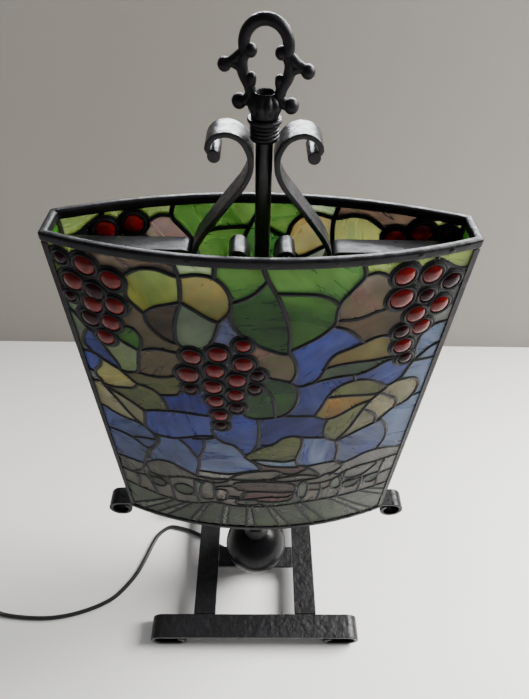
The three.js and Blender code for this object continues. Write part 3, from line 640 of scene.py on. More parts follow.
# Two colours of each kind of glass, the second in its streaks. The kinds in the lower part of the panels
# (hill, stone, field, row, slate, blueWhite and paleBlue) are darkened as painted shade, for the weaker light
# that comes through the lower part of the shade.
glassColours = {
    "leaf": ((0.04, 0.21, 0.016), (0.09, 0.33, 0.028)),
    "darkLeaf": ((0.018, 0.09, 0.014), (0.04, 0.16, 0.02)),
    "lime": ((0.28, 0.42, 0.05), (0.45, 0.5, 0.12)),
    "tan": ((0.55, 0.36, 0.15), (0.6, 0.5, 0.26)),
    "paleGreen": ((0.30, 0.42, 0.17), (0.42, 0.5, 0.28)),
    "yellowGreen": ((0.38, 0.4, 0.05), (0.17, 0.28, 0.04)),
    "oliveYellow": ((0.42, 0.3, 0.04), (0.26, 0.28, 0.06)),
    "olive": ((0.15, 0.19, 0.045), (0.27, 0.24, 0.09)),
    "brown": ((0.14, 0.08, 0.035), (0.24, 0.16, 0.07)),
    "darkBrown": ((0.05, 0.032, 0.024), (0.10, 0.06, 0.035)),
    "greyGreen": ((0.19, 0.27, 0.16), (0.28, 0.34, 0.22)),
    "lilac": ((0.15, 0.17, 0.36), (0.28, 0.3, 0.48)),
    "pinkBrown": ((0.30, 0.17, 0.12), (0.20, 0.21, 0.08)),
    "blue": ((0.035, 0.06, 0.36), (0.1, 0.14, 0.48)),
    "cobalt": ((0.015, 0.025, 0.28), (0.04, 0.07, 0.42)),
    # paleBlue and blueWhite are darkened as painted shade.
    "paleBlue": ((0.16, 0.25, 0.46), (0.26, 0.35, 0.55)),
    "blueWhite": ((0.06, 0.1, 0.36), (0.34, 0.42, 0.6)),
    "amber": ((0.42, 0.22, 0.04), (0.36, 0.32, 0.09)),
    "cream": ((0.50, 0.45, 0.24), (0.36, 0.36, 0.19)),
    "paleYellow": ((0.52, 0.46, 0.14), (0.40, 0.42, 0.16)),
    "grey": ((0.22, 0.23, 0.22), (0.32, 0.34, 0.33)),
    "white": ((0.42, 0.50, 0.58), (0.3, 0.42, 0.6)),
    # hill is darkened as painted shade.
    "hill": ((0.11, 0.105, 0.085), (0.17, 0.16, 0.12)),
    "wine": ((0.10, 0.04, 0.06), (0.16, 0.09, 0.05)),
    "poplar": ((0.13, 0.17, 0.11), (0.18, 0.21, 0.15)),
    "umber": ((0.2, 0.15, 0.07), (0.27, 0.22, 0.12)),
    "moss": ((0.09, 0.11, 0.05), (0.16, 0.17, 0.08)),
    "fern": ((0.045, 0.12, 0.045), (0.12, 0.18, 0.09)),
    # stone, slate, field and row are darkened as painted shade.
    "stone": ((0.2, 0.195, 0.17), (0.26, 0.25, 0.23)),
    "slate": ((0.07, 0.11, 0.3), (0.14, 0.19, 0.42)),
    "field": ((0.045, 0.075, 0.03), (0.09, 0.12, 0.065)),
    "row": ((0.2, 0.23, 0.16), (0.14, 0.18, 0.11)),
    "wall": ((0.34, 0.27, 0.22), (0.26, 0.22, 0.18)),
    "roof": ((0.14, 0.04, 0.028), (0.19, 0.07, 0.05)),
    "pink": ((0.24, 0.15, 0.13), (0.2, 0.17, 0.14)),
    "ruby": ((0.7, 0.03, 0.02), (0.6, 0.02, 0.015)),
    "garnet": ((0.06, 0.006, 0.008), (0.04, 0.004, 0.006)),
    "tree": ((0.04, 0.07, 0.035), (0.06, 0.09, 0.04)),
}

# Where each kind of glass lies.
glassSpots = {
    "lime": [(-125, 347), (72, 346), (97, 348), (124, 345)],
    "tan": [(-80, 346)],
    "paleGreen": [(-41, 346), (-121, 262), (-99, 255)],
    "leaf": [(-15, 338), (35, 338), (32, 305), (-93, 280), (-40, 330)],
    "darkLeaf": [(2, 308), (0, 220), (20, 225), (-10, 300)],
    "yellowGreen": [(-68, 330), (-80, 322)],
    "oliveYellow": [(-37, 325)],
    "darkBrown": [(-65, 297), (-100, 343), (5, 92)],
    "greyGreen": [(-44, 296), (-132, 270)],
    "fern": [(66, 253)],
    "moss": [(-85, 297)],
    "umber": [(-75, 256), (-80, 282)],
    "lilac": [(-23, 297)],
    "pinkBrown": [(15, 261), (67, 322)],
    "blue": [
        (38, 270), (38, 225), (95, 245), (-57, 212), (-14, 178), (-68, 183), (-30, 135), (60, 282),
        (108, 240), (85, 271), (-110, 225), (40, 287), (-20, 150), (30, 250), (-84, 176), (-120, 250),
    ],
    "cobalt": [(28, 187), (-56, 153), (80, 165), (-70, 208)],
    "brown": [(72, 296)],
    "amber": [(72, 270), (65, 212), (60, 262)],
    "olive": [(66, 182), (22, 152), (-92, 211), (-80, 232), (76, 231)],
    "cream": [(116, 215), (100, 203), (88, 184), (-125, 198), (112, 190), (-106, 193)],
    "paleYellow": [(-112, 229)],
    "paleBlue": [
        (127, 275), (128, 256), (126, 240), (124, 170), (120, 145), (128, 190),
    ],
    "slate": [(-129, 242), (-112, 163), (-120, 130), (-76, 137), (-130, 168), (-100, 144)],
    "grey": [(129, 300), (-134, 224)],
    "blueWhite": [(52, 147), (92, 150), (-30, 136)],
    "white": [(16, 130)],
    "stone": [(100, 122), (92, 101), (60, 112), (-40, 106), (110, 100), (130, 100)],
    "hill": [
        (-110, 95), (-80, 108), (0, 111), (36, 104), (-125, 95), (-70, 85), (-95, 65), (56, 85),
        (-20, 104), (112, 70), (-120, 70), (10, 102), (-72, 55), (-50, 94), (60, 98), (56, 70),
        (72, 70), (92, 70), (130, 72), (-5, 53), (-130, 75),
    ],
    "wine": [(30, 117), (10, 126)],
    "poplar": [(-48, 80), (45, 82), (76, 86)],
    "pink": [(63, 85), (-25, 84)],
    "tree": [(-98, 77), (-72, 73), (92, 80), (113, 80)],
    "wall": [(-35, 72), (-20, 76), (-10, 60)],
    "roof": [(10, 76)],
    "field": [(-130, 40), (130, 56), (0, 46), (-120, 20), (60, 30)],
}

# Came of the front panel: the drawing's lines, as (across, up).
cameLines = [
    [(-88, 334), (-82, 339), (-74, 343), (-64, 343.5), (-53, 340), (-40, 342.5), (-30, 341), (-23, 334),
     (-19.5, 324), (-20.5, 314), (-28, 304)], [(-107, 352), (-107, 346)],
    [(-54, 352), (-53, 346), (-51.5, 340), (-51.5, 330), (-52.5, 319)], [(-28.5, 352), (-29.5, 341)],
    [(-87, 331), (-88.5, 318), (-84, 311), (-78.5, 305)],
    [(-78.5, 305), (-70, 312), (-60, 316), (-52, 319)],
    [(-52, 319), (-42, 312), (-34, 306.5), (-28, 304)],
    [(-78.5, 306), (-77, 296), (-71, 287), (-63, 281.5), (-57, 280)],
    [(-52, 319), (-56, 308), (-58.5, 296), (-58, 281), (-54, 276)],
    [(-28, 304), (-30, 296), (-33, 287), (-36, 282)], [(-20, 315), (-20, 306), (-16, 297), (-12, 292)],
    [(-20, 321), (-11, 325), (-3, 331), (3, 339)],
    [(0, 352), (3, 342), (9, 330), (13, 320), (17, 308), (19.5, 295), (20, 278)],
    [(9, 330), (22, 329.5), (36, 328), (45, 324), (50, 319)],
    [(61, 352), (64, 341), (58, 331), (51.5, 321), (50, 312), (50, 303), (47, 298), (40, 291), (30, 284),
     (20, 278)], [(-8, 292), (-3, 285), (5, 280), (14, 276), (20, 275)],
    [(20, 277), (25, 266), (26.5, 254), (23, 244)],
    [(9, 249), (18, 246), (25, 242), (29, 234), (29.5, 224), (27, 213), (20, 204), (8, 200.5), (-5, 200),
     (-11, 203)], [(13, 202), (12, 214), (10, 226), (4, 238)],
    [(48, 300), (58, 296), (66, 289), (73, 281)],
    [(73, 281), (63, 276.5), (54, 272), (49, 264), (47, 255), (43, 246), (38, 241)],
    [(22, 245), (28, 239.5), (34, 240), (42, 243), (53, 246), (63, 247), (72, 247)],
    [(64, 341), (72, 342.5), (79, 339)], [(50, 305.5), (60, 304.5), (68, 305.5), (76, 309), (84, 311)],
    [(73, 281), (80, 284.5), (88, 285), (94, 281)],
    [(46, 257), (56, 260), (68, 261), (82, 260.5), (96, 261), (103, 260)],
    [(72, 247), (80, 249), (87, 253), (93, 257), (103, 259)], [(70.5, 248), (72.5, 241)],
    [(53, 224), (57, 231), (64, 237.5), (74, 240.5), (85, 238), (94, 232), (101, 227), (106, 230),
     (114, 231), (123, 229), (128.5, 221), (128, 209), (124, 201), (118, 197)],
    [(53, 223), (64, 223), (76, 221.5), (88, 219.5), (96, 220), (101, 226)],
    [(53, 224), (50, 214), (46, 203), (45, 200)],
    [(45, 200), (51, 196), (57, 194.5), (64, 197), (72, 203), (80, 208.5), (90, 212)],
    [(57, 195), (55, 186), (55.5, 174), (60, 165), (67, 161)],
    [(67, 161), (72, 169), (78, 180), (82, 192), (86, 203), (91, 213), (97, 220)],
    [(98, 218), (104, 213), (110, 209), (113.5, 203), (113, 197)],
    [(118, 197), (112, 194), (106, 187), (101, 181)], [(86, 201), (93, 195), (98, 188), (99, 180)],
    [(68, 161), (76, 165.5), (86, 172), (96, 177), (104, 181)],
    [(20, 203), (30, 202), (40, 201), (46, 200)], [(-1, 200), (0, 188), (0, 174), (-1, 163), (-4, 155)],
    [(3, 162), (9, 161), (15, 165), (20, 171), (28, 174), (37, 171.5), (48, 169.5), (57, 168)],
    [(9, 161), (2, 157), (-6, 150), (-12, 143)],
    [(37, 172), (37.5, 160), (35.5, 148), (34, 137), (36, 126)],
    [(-12, 143), (-8, 138), (2, 138), (12, 136.5), (24, 134.5), (34, 137)],
    [(-8, 138), (-2, 134), (4, 130), (12, 127), (25, 125), (37, 124)],
    [(36, 127), (46, 124.5), (58, 126.5), (70, 127)],
    [(67, 161), (70, 150), (70.5, 138), (71, 127), (74, 122)],
    [(71, 128), (77, 122), (86, 125), (96, 131), (108, 133.5)],
    [(104, 181), (110, 171), (113.5, 158), (113, 146), (108.5, 133)],
    [(108, 133), (118, 132), (128, 128), (138, 126)], [(128, 205), (138, 207)],
    [(117, 251), (122, 257), (128, 263), (138, 267)], [(117, 251), (126, 250), (138, 249)],
    [(117, 253), (114, 243), (110, 233), (106, 230)], [(116, 281), (115, 266), (117, 252)],
    [(121, 286), (128, 287.5), (138, 287)], [(110, 347), (118, 342), (127, 336), (138, 334)],
    [(109, 352), (108.5, 345)], [(-138, 299), (-131, 291), (-124, 279), (-118, 274)],
    [(-118, 275), (-116, 266), (-112, 257), (-108, 249), (-106, 240)],
    [(-124, 279), (-129, 271), (-131.5, 262), (-127, 253)],
    [(-138, 251), (-127, 253), (-118, 247), (-106, 240.5), (-99, 239.5), (-92.5, 243), (-90, 255),
     (-88, 266)], [(-104, 277), (-97, 272), (-88, 267)],
    [(-96, 290), (-89, 289), (-84.5, 281), (-86, 270), (-88, 266)],
    [(-88, 266), (-82, 269.5), (-72, 272), (-60, 271)],
    [(-102, 239), (-93, 241.5), (-80, 240.5), (-68, 243), (-62, 246)],
    [(-108, 241), (-102, 235), (-96, 228), (-90, 226.5), (-84, 224.5), (-78, 218), (-75, 209),
     (-73.5, 199)], [(-78, 219), (-70, 220.5), (-63, 223), (-61, 227)],
    [(-121, 247), (-124, 239), (-130, 229), (-124, 216)],
    [(-126, 217), (-118, 216), (-108, 218.5), (-99, 221.5), (-95, 227)], [(-138, 232), (-130, 229)],
    [(-138, 213), (-131, 218), (-127, 219)],
    [(-122, 213), (-112, 207), (-103, 201), (-95, 194), (-86, 196.5), (-74, 199.5), (-60, 200.5),
     (-43, 200)], [(-127, 218), (-123, 210), (-117, 200), (-111, 188), (-104, 177), (-99, 172)],
    [(-95, 194), (-95.5, 184), (-97, 174), (-96, 168)],
    [(-138, 185), (-131, 185), (-124, 180), (-114, 176), (-104, 174), (-97, 169), (-91, 162)],
    [(-96, 168), (-91, 160), (-90, 150), (-93, 142), (-99, 136)],
    [(-138, 152), (-125, 151.5), (-115, 148.5), (-109, 144), (-104, 138), (-99, 136)],
    [(-112, 148), (-103, 151), (-90, 153)], [(-99, 136), (-102, 126), (-105, 116), (-108, 106)],
    [(-91, 162), (-84, 161), (-73, 161), (-62, 165), (-50, 170), (-38, 172)], [(-39, 181), (-37, 172)],
    [(-87, 161), (-88, 150), (-93, 140), (-99, 130), (-100, 119)],
    [(-68, 160), (-62, 152), (-58, 142), (-54, 134), (-54, 122), (-56, 112), (-57, 102)],
    [(-108, 105), (-101, 113), (-91, 119.5), (-80, 119), (-71, 112), (-63, 107), (-56, 102)],
    [(-47, 166), (-47, 155), (-50, 144), (-54, 134)], [(-56, 165), (-47, 166), (-39, 169)],
    [(-37, 171), (-30, 164), (-21, 160), (-15, 151), (-11, 143)],
    [(-56, 113), (-45, 113), (-30, 112), (-20, 114), (-8, 118.5), (3, 121)],
    [(-8, 138), (-1, 130), (3, 121)],
    [(-27, 103), (-21, 110), (-10, 116), (3, 119), (17, 119), (22, 114), (13, 105), (0, 103),
     (-14, 102.5), (-27, 103)],
    [(12, 103), (24, 107.5), (40, 109.5), (50, 107), (59, 102), (50, 100), (36, 99.5), (22, 99.5),
     (12, 103)], [(42, 124), (50, 117), (57, 108), (60, 102)],
    [(70, 127), (76, 121), (79, 117), (72, 108), (68, 103)],
    [(72, 105), (77, 102), (84, 106), (96, 110.5), (112, 111), (124, 112), (138, 112)],
    [(80, 101), (83, 95), (90, 91), (101, 92), (108, 98), (114, 106)],
    [(-103, 92), (-95, 89), (-84, 92), (-73, 96), (-62, 97), (-54, 96)],
    [(-138, 108), (-120, 107), (-108, 105), (-105, 96), (-107, 86), (-103, 80)],
    [(-138, 85), (-124, 82), (-110, 84)],
    [(-49, 97), (-43, 92), (-42, 80), (-44, 62), (-54, 61), (-56, 74), (-53, 89), (-49, 97)],
    [(44, 98), (48, 92), (49, 80), (46, 66), (41, 68), (39.5, 82), (41, 94), (44, 98)],
    [(77, 98), (81, 89), (81, 78), (74, 76), (71, 86), (73, 95), (77, 98)],
    [(-40, 82), (-31, 82), (-31, 63), (-40, 63), (-40, 82)],
    [(-31, 89), (-24, 90), (-18, 83), (-13, 83), (-13, 71), (-30, 71)],
    [(-13, 80), (0, 81), (20, 79), (36, 77), (30, 70), (10, 70), (-16, 66), (-13, 80)],
    [(-20, 64), (0, 64), (1, 56), (-20, 55), (-20, 64)], [(-54, 96), (-40, 94), (-27, 101), (-27, 103)],
    [(-27, 103), (-40, 101), (-57, 103)], [(22, 114), (34, 112), (44, 119)],
    [(59, 102), (64, 106), (72, 108)], [(48, 92), (60, 91), (72, 94)], [(-31, 89), (-37, 88), (-42, 84)],
    [(-24, 90), (-20, 97), (-5, 100), (15, 99), (30, 96), (37, 88), (36, 77)], [(36, 77), (40, 76)],
    [(-16, 66), (-31, 66)], [(2, 62), (16, 60), (32, 63), (36, 70), (36, 77)],
    [(-42, 70), (-38, 58), (-30, 52)], [(1, 58), (10, 51)], [(46, 66), (44, 56)], [(-53, 90), (-60, 96)],
    [(-120, 84), (-118, 70), (-122, 56)], [(-84, 92), (-86, 86), (-85, 70), (-84, 48)],
    [(-60, 97), (-61, 80), (-59, 50)], [(50, 80), (62, 78), (71, 82)], [(61, 91), (62, 78), (60, 56)],
    [(84, 106), (82, 90)], [(78, 76), (82, 68), (80, 57)], [(102, 92), (103, 75), (101, 58)],
    [(122, 112), (120, 90), (122, 59)], [(-108, 105), (-112, 94), (-124, 82)],
    [(-110, 84), (-106, 72), (-102, 51)], [(81, 84), (100, 86), (120, 88)],
    [(120, 84), (130, 86), (138, 85)],
    [(-138, 60), (-120, 55), (-100, 50), (-78, 46), (-56, 50), (-44, 55), (-30, 52), (0, 50), (28, 53),
     (50, 56), (76, 57), (100, 58), (138, 60)],
]
roundTrees = [(-98, 77, 8), (-72, 73, 10), (92, 80, 8), (113, 80, 8)]
vineRows = [
    ((-90, 48), (-138, 8), (-84, 47), (-126, 3)), ((-72, 47), (-112, 3), (-66, 47), (-100, 3)),
    ((-52, 51), (-74, 3), (-47, 53), (-66, 3)), ((-33, 52), (-39, 3), (-27, 51), (-32, 3)),
    ((-10, 50), (-11, 3), (-5, 50), (-1, 3)), ((9, 51), (26, 3), (14, 51), (37, 3)),
    ((38, 54), (62, 3), (45, 55), (78, 3)), ((72, 57), (118, 3), (80, 57), (130, 3)),
    ((104, 58), (138, 30), (114, 58), (138, 42)),
]

# Grapes of the front panel: across, up, radius, and whether the jewel is a dark one.
grapes = {
    "left": [
        (-112, 338, 8, 0), (-96, 330, 8, 0), (-124, 322, 8, 0), (-110, 317, 8, 1), (-114, 305, 8, 0),
        (-98, 308, 8, 0), (-119, 291, 8, 1), (-104, 291, 8, 0), (-111, 275, 7.5, 0),
        (-128, 340, 5.5, 1), (-129.2, 308, 5, 1),
    ],
    "middle": [
        (-12, 284, 6.3, 0), (-30, 274, 8, 0), (-49, 269, 8, 0), (-12, 265, 8, 0), (-33, 256, 8, 0),
        (-53, 249, 9, 0), (-17, 247, 8, 0), (-2, 253, 6.5, 1), (-35, 238, 8, 0), (-53, 233, 6, 1),
        (-18, 230, 7.5, 0), (-4, 238, 6.5, 1), (-34, 221, 7.5, 0), (-18, 214, 7, 1), (-31, 203, 7, 0),
        (-31, 189, 6, 1),
    ],
    "right": [
        (90, 338, 8, 0), (109, 336, 8, 0), (125, 327, 7.5, 1), (92, 319, 9.3, 0), (110, 318, 6.5, 1),
        (122, 307, 8, 0), (106, 302, 8, 0), (113, 289, 8, 0), (99, 287, 7, 1), (103, 272, 8, 0),
        (108, 258, 6.5, 1),
    ],
}


def nearestOn(point, a, b):
    run = b - a
    share = min(max((point - a).dot(run) / max(run.length_squared, 1e-9), 0), 1)
    return a + run * share


# Lines with each loose end carried on to the nearest other line, so that every piece of glass is closed in.
def closedUp(lines, reach):
    result = []
    for index, line in enumerate(lines):
        line = list(line)
        for end in (0, -1):
            point = line[end]
            best = None
            for other, candidate in enumerate(lines):
                if other == index:
                    continue
                for a, b in zip(candidate, candidate[1:]):
                    near = nearestOn(point, a, b)
                    if best is None or (near - point).length_squared < (best - point).length_squared:
                        best = near
            if best is not None and 1e-6 < (best - point).length < reach:
                extended = best + (best - point).normalized() * 0.3
                line.insert(0, extended) if end == 0 else line.append(extended)
        result.append(line)
    return result


# Ties that part the pieces of glass and aren't seen: from line ends to lines near them, and between grapes.
def hiddenTies(lines, reach):
    ties = []
    for index, line in enumerate(lines):
        for point in (line[0], line[-1]):
            for other, candidate in enumerate(lines):
                if other == index:
                    continue
                meets = [nearestOn(point, a, b) for a, b in zip(candidate, candidate[1:])]
                near = min(meets, key=lambda p: (p - point).length_squared)
                if 1e-6 < (near - point).length < reach:
                    ties.append([point, near + (near - point).normalized() * 0.3])
    for cluster in grapes.values():
        for index, (x, up, radius, _) in enumerate(cluster):
            for farX, farUp, farRadius, _ in cluster[index + 1:]:
                here, there = Vector((x, up)), Vector((farX, farUp))
                if (there - here).length < radius + farRadius + 10:
                    ties.append([here, there])
    return ties


def luckOf(x, y):
    value = math.sin(x * 12.9898 + y * 78.233) * 43758.5453
    return value - math.floor(value)


# A pane of many pieces of glass between came lines.
def paneOf(name, half, low, high, lines, spots, place, cell):
    verts, edges = [], []
    for line in lines:
        start = len(verts)
        verts += line
        edges += [(start + i, start + i + 1) for i in range(len(line) - 1)]
    corners = [Vector(c) for c in ((-half, low), (half, low), (half, high), (-half, high))]
    countX, countY = math.ceil(2 * half / cell), math.ceil((high - low) / cell)
    frameLine = [corners[0].lerp(corners[1], i / countX) for i in range(countX)]
    frameLine += [corners[1].lerp(corners[2], i / countY) for i in range(countY)]
    frameLine += [corners[2].lerp(corners[3], i / countX) for i in range(countX)]
    frameLine += [corners[3].lerp(corners[0], i / countY) for i in range(countY)]
    start = len(verts)
    verts += frameLine
    edges += [(start + i, start + (i + 1) % len(frameLine)) for i in range(len(frameLine))]
    for i in range(1, countX):
        for j in range(1, countY):
            verts.append(Vector((-half + 2 * half * i / countX, low + (high - low) * j / countY)))
    points, cuts, faces, _, fromEdges, _ = geometry.delaunay_2d_cdt(verts, edges, [], 0, 1e-3)
    lineEdges = {frozenset(cut) for cut, source in zip(cuts, fromEdges) if source}
    centres = [sum((points[i] for i in face), Vector((0, 0))) / 3 for face in faces]
    kept = [i for i, c in enumerate(centres) if abs(c.x) < half and low < c.y < high]
    sides = {}
    for i in kept:
        face = faces[i]
        for a, b in zip(face, [*face[1:], face[0]]):
            sides.setdefault(frozenset((a, b)), []).append(i)
    cellOf, cells = {}, []
    for first in kept:
        if first in cellOf:
            continue
        group, queue = [], [first]
        cellOf[first] = len(cells)
        while queue:
            i = queue.pop()
            group.append(i)
            face = faces[i]
            for a, b in zip(face, [*face[1:], face[0]]):
                side = frozenset((a, b))
                if side in lineEdges:
                    continue
                for other in sides[side]:
                    if other not in cellOf:
                        cellOf[other] = len(cells)
                        queue.append(other)
        cells.append(group)
    bm = bmesh.new()
    made = {}
    tintLayer = bm.faces.layers.float_color.new("tint")
    swirlLayer = bm.faces.layers.float_color.new("swirl")
    grainLayer = bm.faces.layers.float_vector.new("grain")
    for group in cells:
        areas = [geometry.area_tri(*(points[k] for k in faces[i])) for i in group]
        total = sum(areas)
        middle = sum((centres[i] * area for i, area in zip(group, areas)), Vector((0, 0))) / max(total, 1e-6)
        held = {}
        for kind, at in spots:
            near = min((centres[i] - at).length for i in group)
            if kind in ("ruby", "garnet") and near > 4.5:
                continue
            score = near if near < 4 else 20 + (middle - at).length
            if kind not in held or score < held[kind]:
                held[kind] = score
        kind = min(held, key=held.get)
        first, second = glassColours[kind]
        luck = luckOf(middle.x, middle.y)
        turn = math.pi * luckOf(middle.y, middle.x)
        for i in group:
            corner = []
            for k in faces[i]:
                if k not in made:
                    made[k] = bm.verts.new(place(points[k].x, points[k].y))
                corner.append(made[k])
            face = bm.faces.new(corner)
            face[tintLayer] = (*first, 1)
            face[swirlLayer] = (*second, 1)
            face[grainLayer] = (math.cos(turn), math.sin(turn), luck)
    print(name, len(cells), "pieces of glass,", len(bm.faces), "faces", flush=True)
    return refined(meshOf(bm, name), ("SOLIDIFY", {"thickness": shadeValues["glass"] * mm, "offset": 0}))


def turnedHalf(mesh, name):
    copy = mesh.copy()
    copy.name = name
    copy.transform(Matrix.Rotation(math.pi, 4, "Z"))
    return copy


# A closed ring of short straight lines on the panel.
def ringLine(x, y, radius, count):
    turns = [math.tau * k / count for k in range(count + 1)]
    return [Vector((x + radius * math.cos(t), y + radius * math.sin(t))) for t in turns]


def frontDrawing():
    lines = [[Vector(p) for p in line] for line in cameLines]
    for x, y, radius in roundTrees:
        lines.append(ringLine(x, y, radius, 12))
    rows = []
    for topA, lowA, topB, lowB in vineRows:
        rows.append((Vector(topA), Vector(lowA)))
        rows.append((Vector(topB), Vector(lowB)))
    lines += [[a + (a - b).normalized() * 2.5, a.lerp(b, 0.5), b] for a, b in rows]
    spots = [(kind, Vector(at)) for kind, places in glassSpots.items() for at in places]
    for cluster in grapes.values():
        spots += [("garnet" if dark else "ruby", Vector((x, up))) for x, up, _, dark in cluster]
    for i in range(0, len(rows), 2):
        (topA, lowA), (topB, lowB) = rows[i], rows[i + 1]
        for share in (0.3, 0.6):
            spots.append(("row", (topA.lerp(lowA, share) + topB.lerp(lowB, share)) / 2))
            if i + 2 < len(rows):
                topC, lowC = rows[i + 2]
                spots.append(("field", (topB.lerp(lowB, share) + topC.lerp(lowC, share)) / 2))
    smooth = [[p.xy for p in smoothLine([(*p, 0) for p in line], 3.2)] for line in lines]
    rings = []
    for cluster in grapes.values():
        for x, up, radius, _ in cluster:
            reach = radius + 2.8
            rings.append(ringLine(x, up, reach, 20))
    drawn = closedUp(smooth + rings, 7)
    return drawn[:len(smooth)], drawn[len(smooth):] + hiddenTies(drawn, 4), spots


def jewelMesh(name, place, radius, tall):
    bm = bmesh.new()
    bmesh.ops.create_uvsphere(bm, u_segments=28, v_segments=14, radius=radius)
    bmesh.ops.scale(bm, vec=(1, 1, tall / radius), verts=bm.verts)
    bmesh.ops.rotate(bm, verts=bm.verts, cent=(0, 0, 0), matrix=Matrix.Rotation(math.pi / 2, 3, "X"))
    x = place[0]
    facing = Matrix.Rotation(math.asin(x / panelRadius), 3, "Z")
    bmesh.ops.rotate(bm, verts=bm.verts, cent=(0, 0, 0), matrix=facing)
    bmesh.ops.translate(bm, verts=bm.verts, vec=place)
    return meshOf(bm, name)


# The red jewels of a cluster, or with wanted at 1 its dark ones.
def clusterMesh(name, cluster, wanted, tall):
    chosen = [(frontPlace(x, up, 0), radius - 0.2) for x, up, radius, dark in cluster if dark == wanted]
    return joined(name, *[jewelMesh("jewel", place, radius, tall) for place, radius in chosen])


def makeFrontAndBack():
    v = shadeValues
    lines, rings, spots = frontDrawing()
    pane = paneOf("glassFront", v["half"], v["low"], v["high"], lines + rings, spots, frontPlace, v["cell"])
    placed("glassFront", pane, leafGlass, "shade", ["glass_front"], 80)
    placed("glassBack", turnedHalf(pane, "glassBack"), leafGlass, "shade", ["glass_back"], 80)
    bars = []
    for line in lines:
        xs = [min(max(p.x, -v["cameReach"]), v["cameReach"]) for p in line]
        ups = [min(max(p.y, v["cameLow"]), v["cameHigh"]) for p in line]
        bars.append([frontPlace(x, up) for x, up in zip(xs, ups)])
    rings, halos = [], []
    for cluster in grapes.values():
        for x, up, radius, _ in cluster:
            for reach, out, group in ((radius, 1.5, rings), (radius, -1.5, rings), (radius + 1.9, 0, halos)):
                ring = []
                for k in range(28):
                    turn = math.tau * k / 28
                    ring.append(frontPlace(x + reach * math.cos(turn), up + reach * math.sin(turn), out))
                group.append(ring)
    came = joined(
        "cameFront", barsMesh("came", bars, v["came"], 2), barsMesh("rings", [], 1.35, 2, rings),
        barsMesh("halos", [], 2.0, 2, halos),
    )
    placed("cameFront", came, lead, "shade")
    placed("cameBack", turnedHalf(came, "cameBack"), lead, "shade")
    for name, cluster in grapes.items():
        red = clusterMesh("red", cluster, 0, 4.6)
        dark = clusterMesh("dark", cluster, 1, 4.2)
        for side, ends in (("front", "Front"), ("back", "Back")):
            redMesh = red.copy() if side == "front" else turnedHalf(red, "red")
            darkMesh = dark.copy() if side == "front" else turnedHalf(dark, "dark")
            placed("grapes" + ends + "_" + name, redMesh, redJewel, "shade", ["grapes_" + side + "_" + name])
            placed("darkGrapes" + ends + "_" + name, darkMesh, darkJewel, "shade")


endPane = {
    "half": 8.6, "x": 137.2,
    "rungs": [18, 44, 63, 88, 112, 139, 158, 187, 214, 233, 262, 291, 309, 333],
    "kinds": [
        "field", "row", "hill", "paleBlue", "blue", "cobalt", "paleBlue", "blue", "greyGreen", "blue", "olive",
        "yellowGreen", "leaf", "lime", "leaf",
    ],
}


def makeEnds():
    v = endPane
    lines = []
    for k, up in enumerate(v["rungs"]):
        lean = 5 * (luckOf(k, 3) - 0.5)
        reach = v["half"] + 1.5
        lines.append([Vector((-reach, up - lean)), Vector((0, up + 1.5)), Vector((reach, up + lean))])
    levels = [7, *v["rungs"], 349]
    spots = [(kind, Vector((0, (a + b) / 2))) for kind, a, b in zip(v["kinds"], levels, levels[1:])]
    for name, side in (("left", -1), ("right", 1)):
        def place(u, up, out=0.0):
            return (side * v["x"], u, shadeValues["bottom"] + up)
        low, high = shadeValues["low"], shadeValues["high"]
        pane = paneOf("glassEnd_" + name, v["half"], low, high, lines, spots, place, 4)
        placed("glassEnd_" + name, pane, leafGlass, "shade", ["glass_end_" + name], 80)
        bars = [[place(min(max(p.x, -8.8), 8.8), p.y) for p in line] for line in lines]
        placed("cameEnd_" + name, barsMesh("came", bars, 1.7, 2), lead, "shade")


rimValues = {"steps": 40, "beads": 11, "beadRadius": 3.0, "beadReach": 126}


def rimRing(inset):
    half = shadeValues["width"] / 2 - inset
    steps = rimValues["steps"]
    across = [-half + 2 * half * i / steps for i in range(steps + 1)]
    front = [(x, -outlineDepth(x, inset)) for x in across]
    return front + [(-x, -y) for x, y in front]


def makeRims():
    v = shadeValues
    for name, bottom in (("bottom", v["bottom"]), ("top", v["bottom"] + v["height"] - v["rimHeight"])):
        bm = bmesh.new()
        ring = [bm.verts.new((x, y, bottom)) for x, y in rimRing(v["rimWidth"] / 2)]
        edges = [bm.edges.new((ring[i], ring[(i + 1) % len(ring)])) for i in range(len(ring))]
        grown = bmesh.ops.extrude_edge_only(bm, edges=edges)["geom"]
        raisedVerts = [e for e in grown if isinstance(e, bmesh.types.BMVert)]
        bmesh.ops.translate(bm, verts=raisedVerts, vec=(0, 0, v["rimHeight"]))
        band = refined(
            meshOf(bm, "rim"),
            ("SOLIDIFY", {"thickness": v["rimWidth"] * mm, "offset": 0, "use_even_offset": True}),
            ("BEVEL", {
                "width": 1.9 * mm, "segments": 3, "limit_method": "ANGLE", "angle_limit": math.radians(60),
            }),
        )
        beads = []
        for k in range(rimValues["beads"]):
            share = (k + 0.5 * luckOf(k, bottom)) / (rimValues["beads"] - 0.5)
            x = rimValues["beadReach"] * (2 * share - 1)
            for side in (-1, 1):
                bead = bmesh.new()
                size = rimValues["beadRadius"] * (0.75 + 0.4 * luckOf(k + side, 7))
                bmesh.ops.create_uvsphere(bead, u_segments=16, v_segments=10, radius=size)
                bmesh.ops.scale(bead, vec=(1.5, 0.8, 1), verts=bead.verts)
                place = (x, side * outlineDepth(x, 2.3), bottom + v["rimHeight"] / 2)
                bmesh.ops.translate(bead, verts=bead.verts, vec=place)
                beads.append(meshOf(bead, "bead"))
        placed("rim_" + name + "_bar", joined("rim", band, *beads), lead, "shade", ["rim_" + name])


makeFrontAndBack()
makeEnds()
makeRims()
print("shade made")


# Bulbs, cord, switch and plug

lightValues = {"spread": 52, "foot": 312, "cap": 13, "bulb": 22.5, "bulbFoot": 351.3}


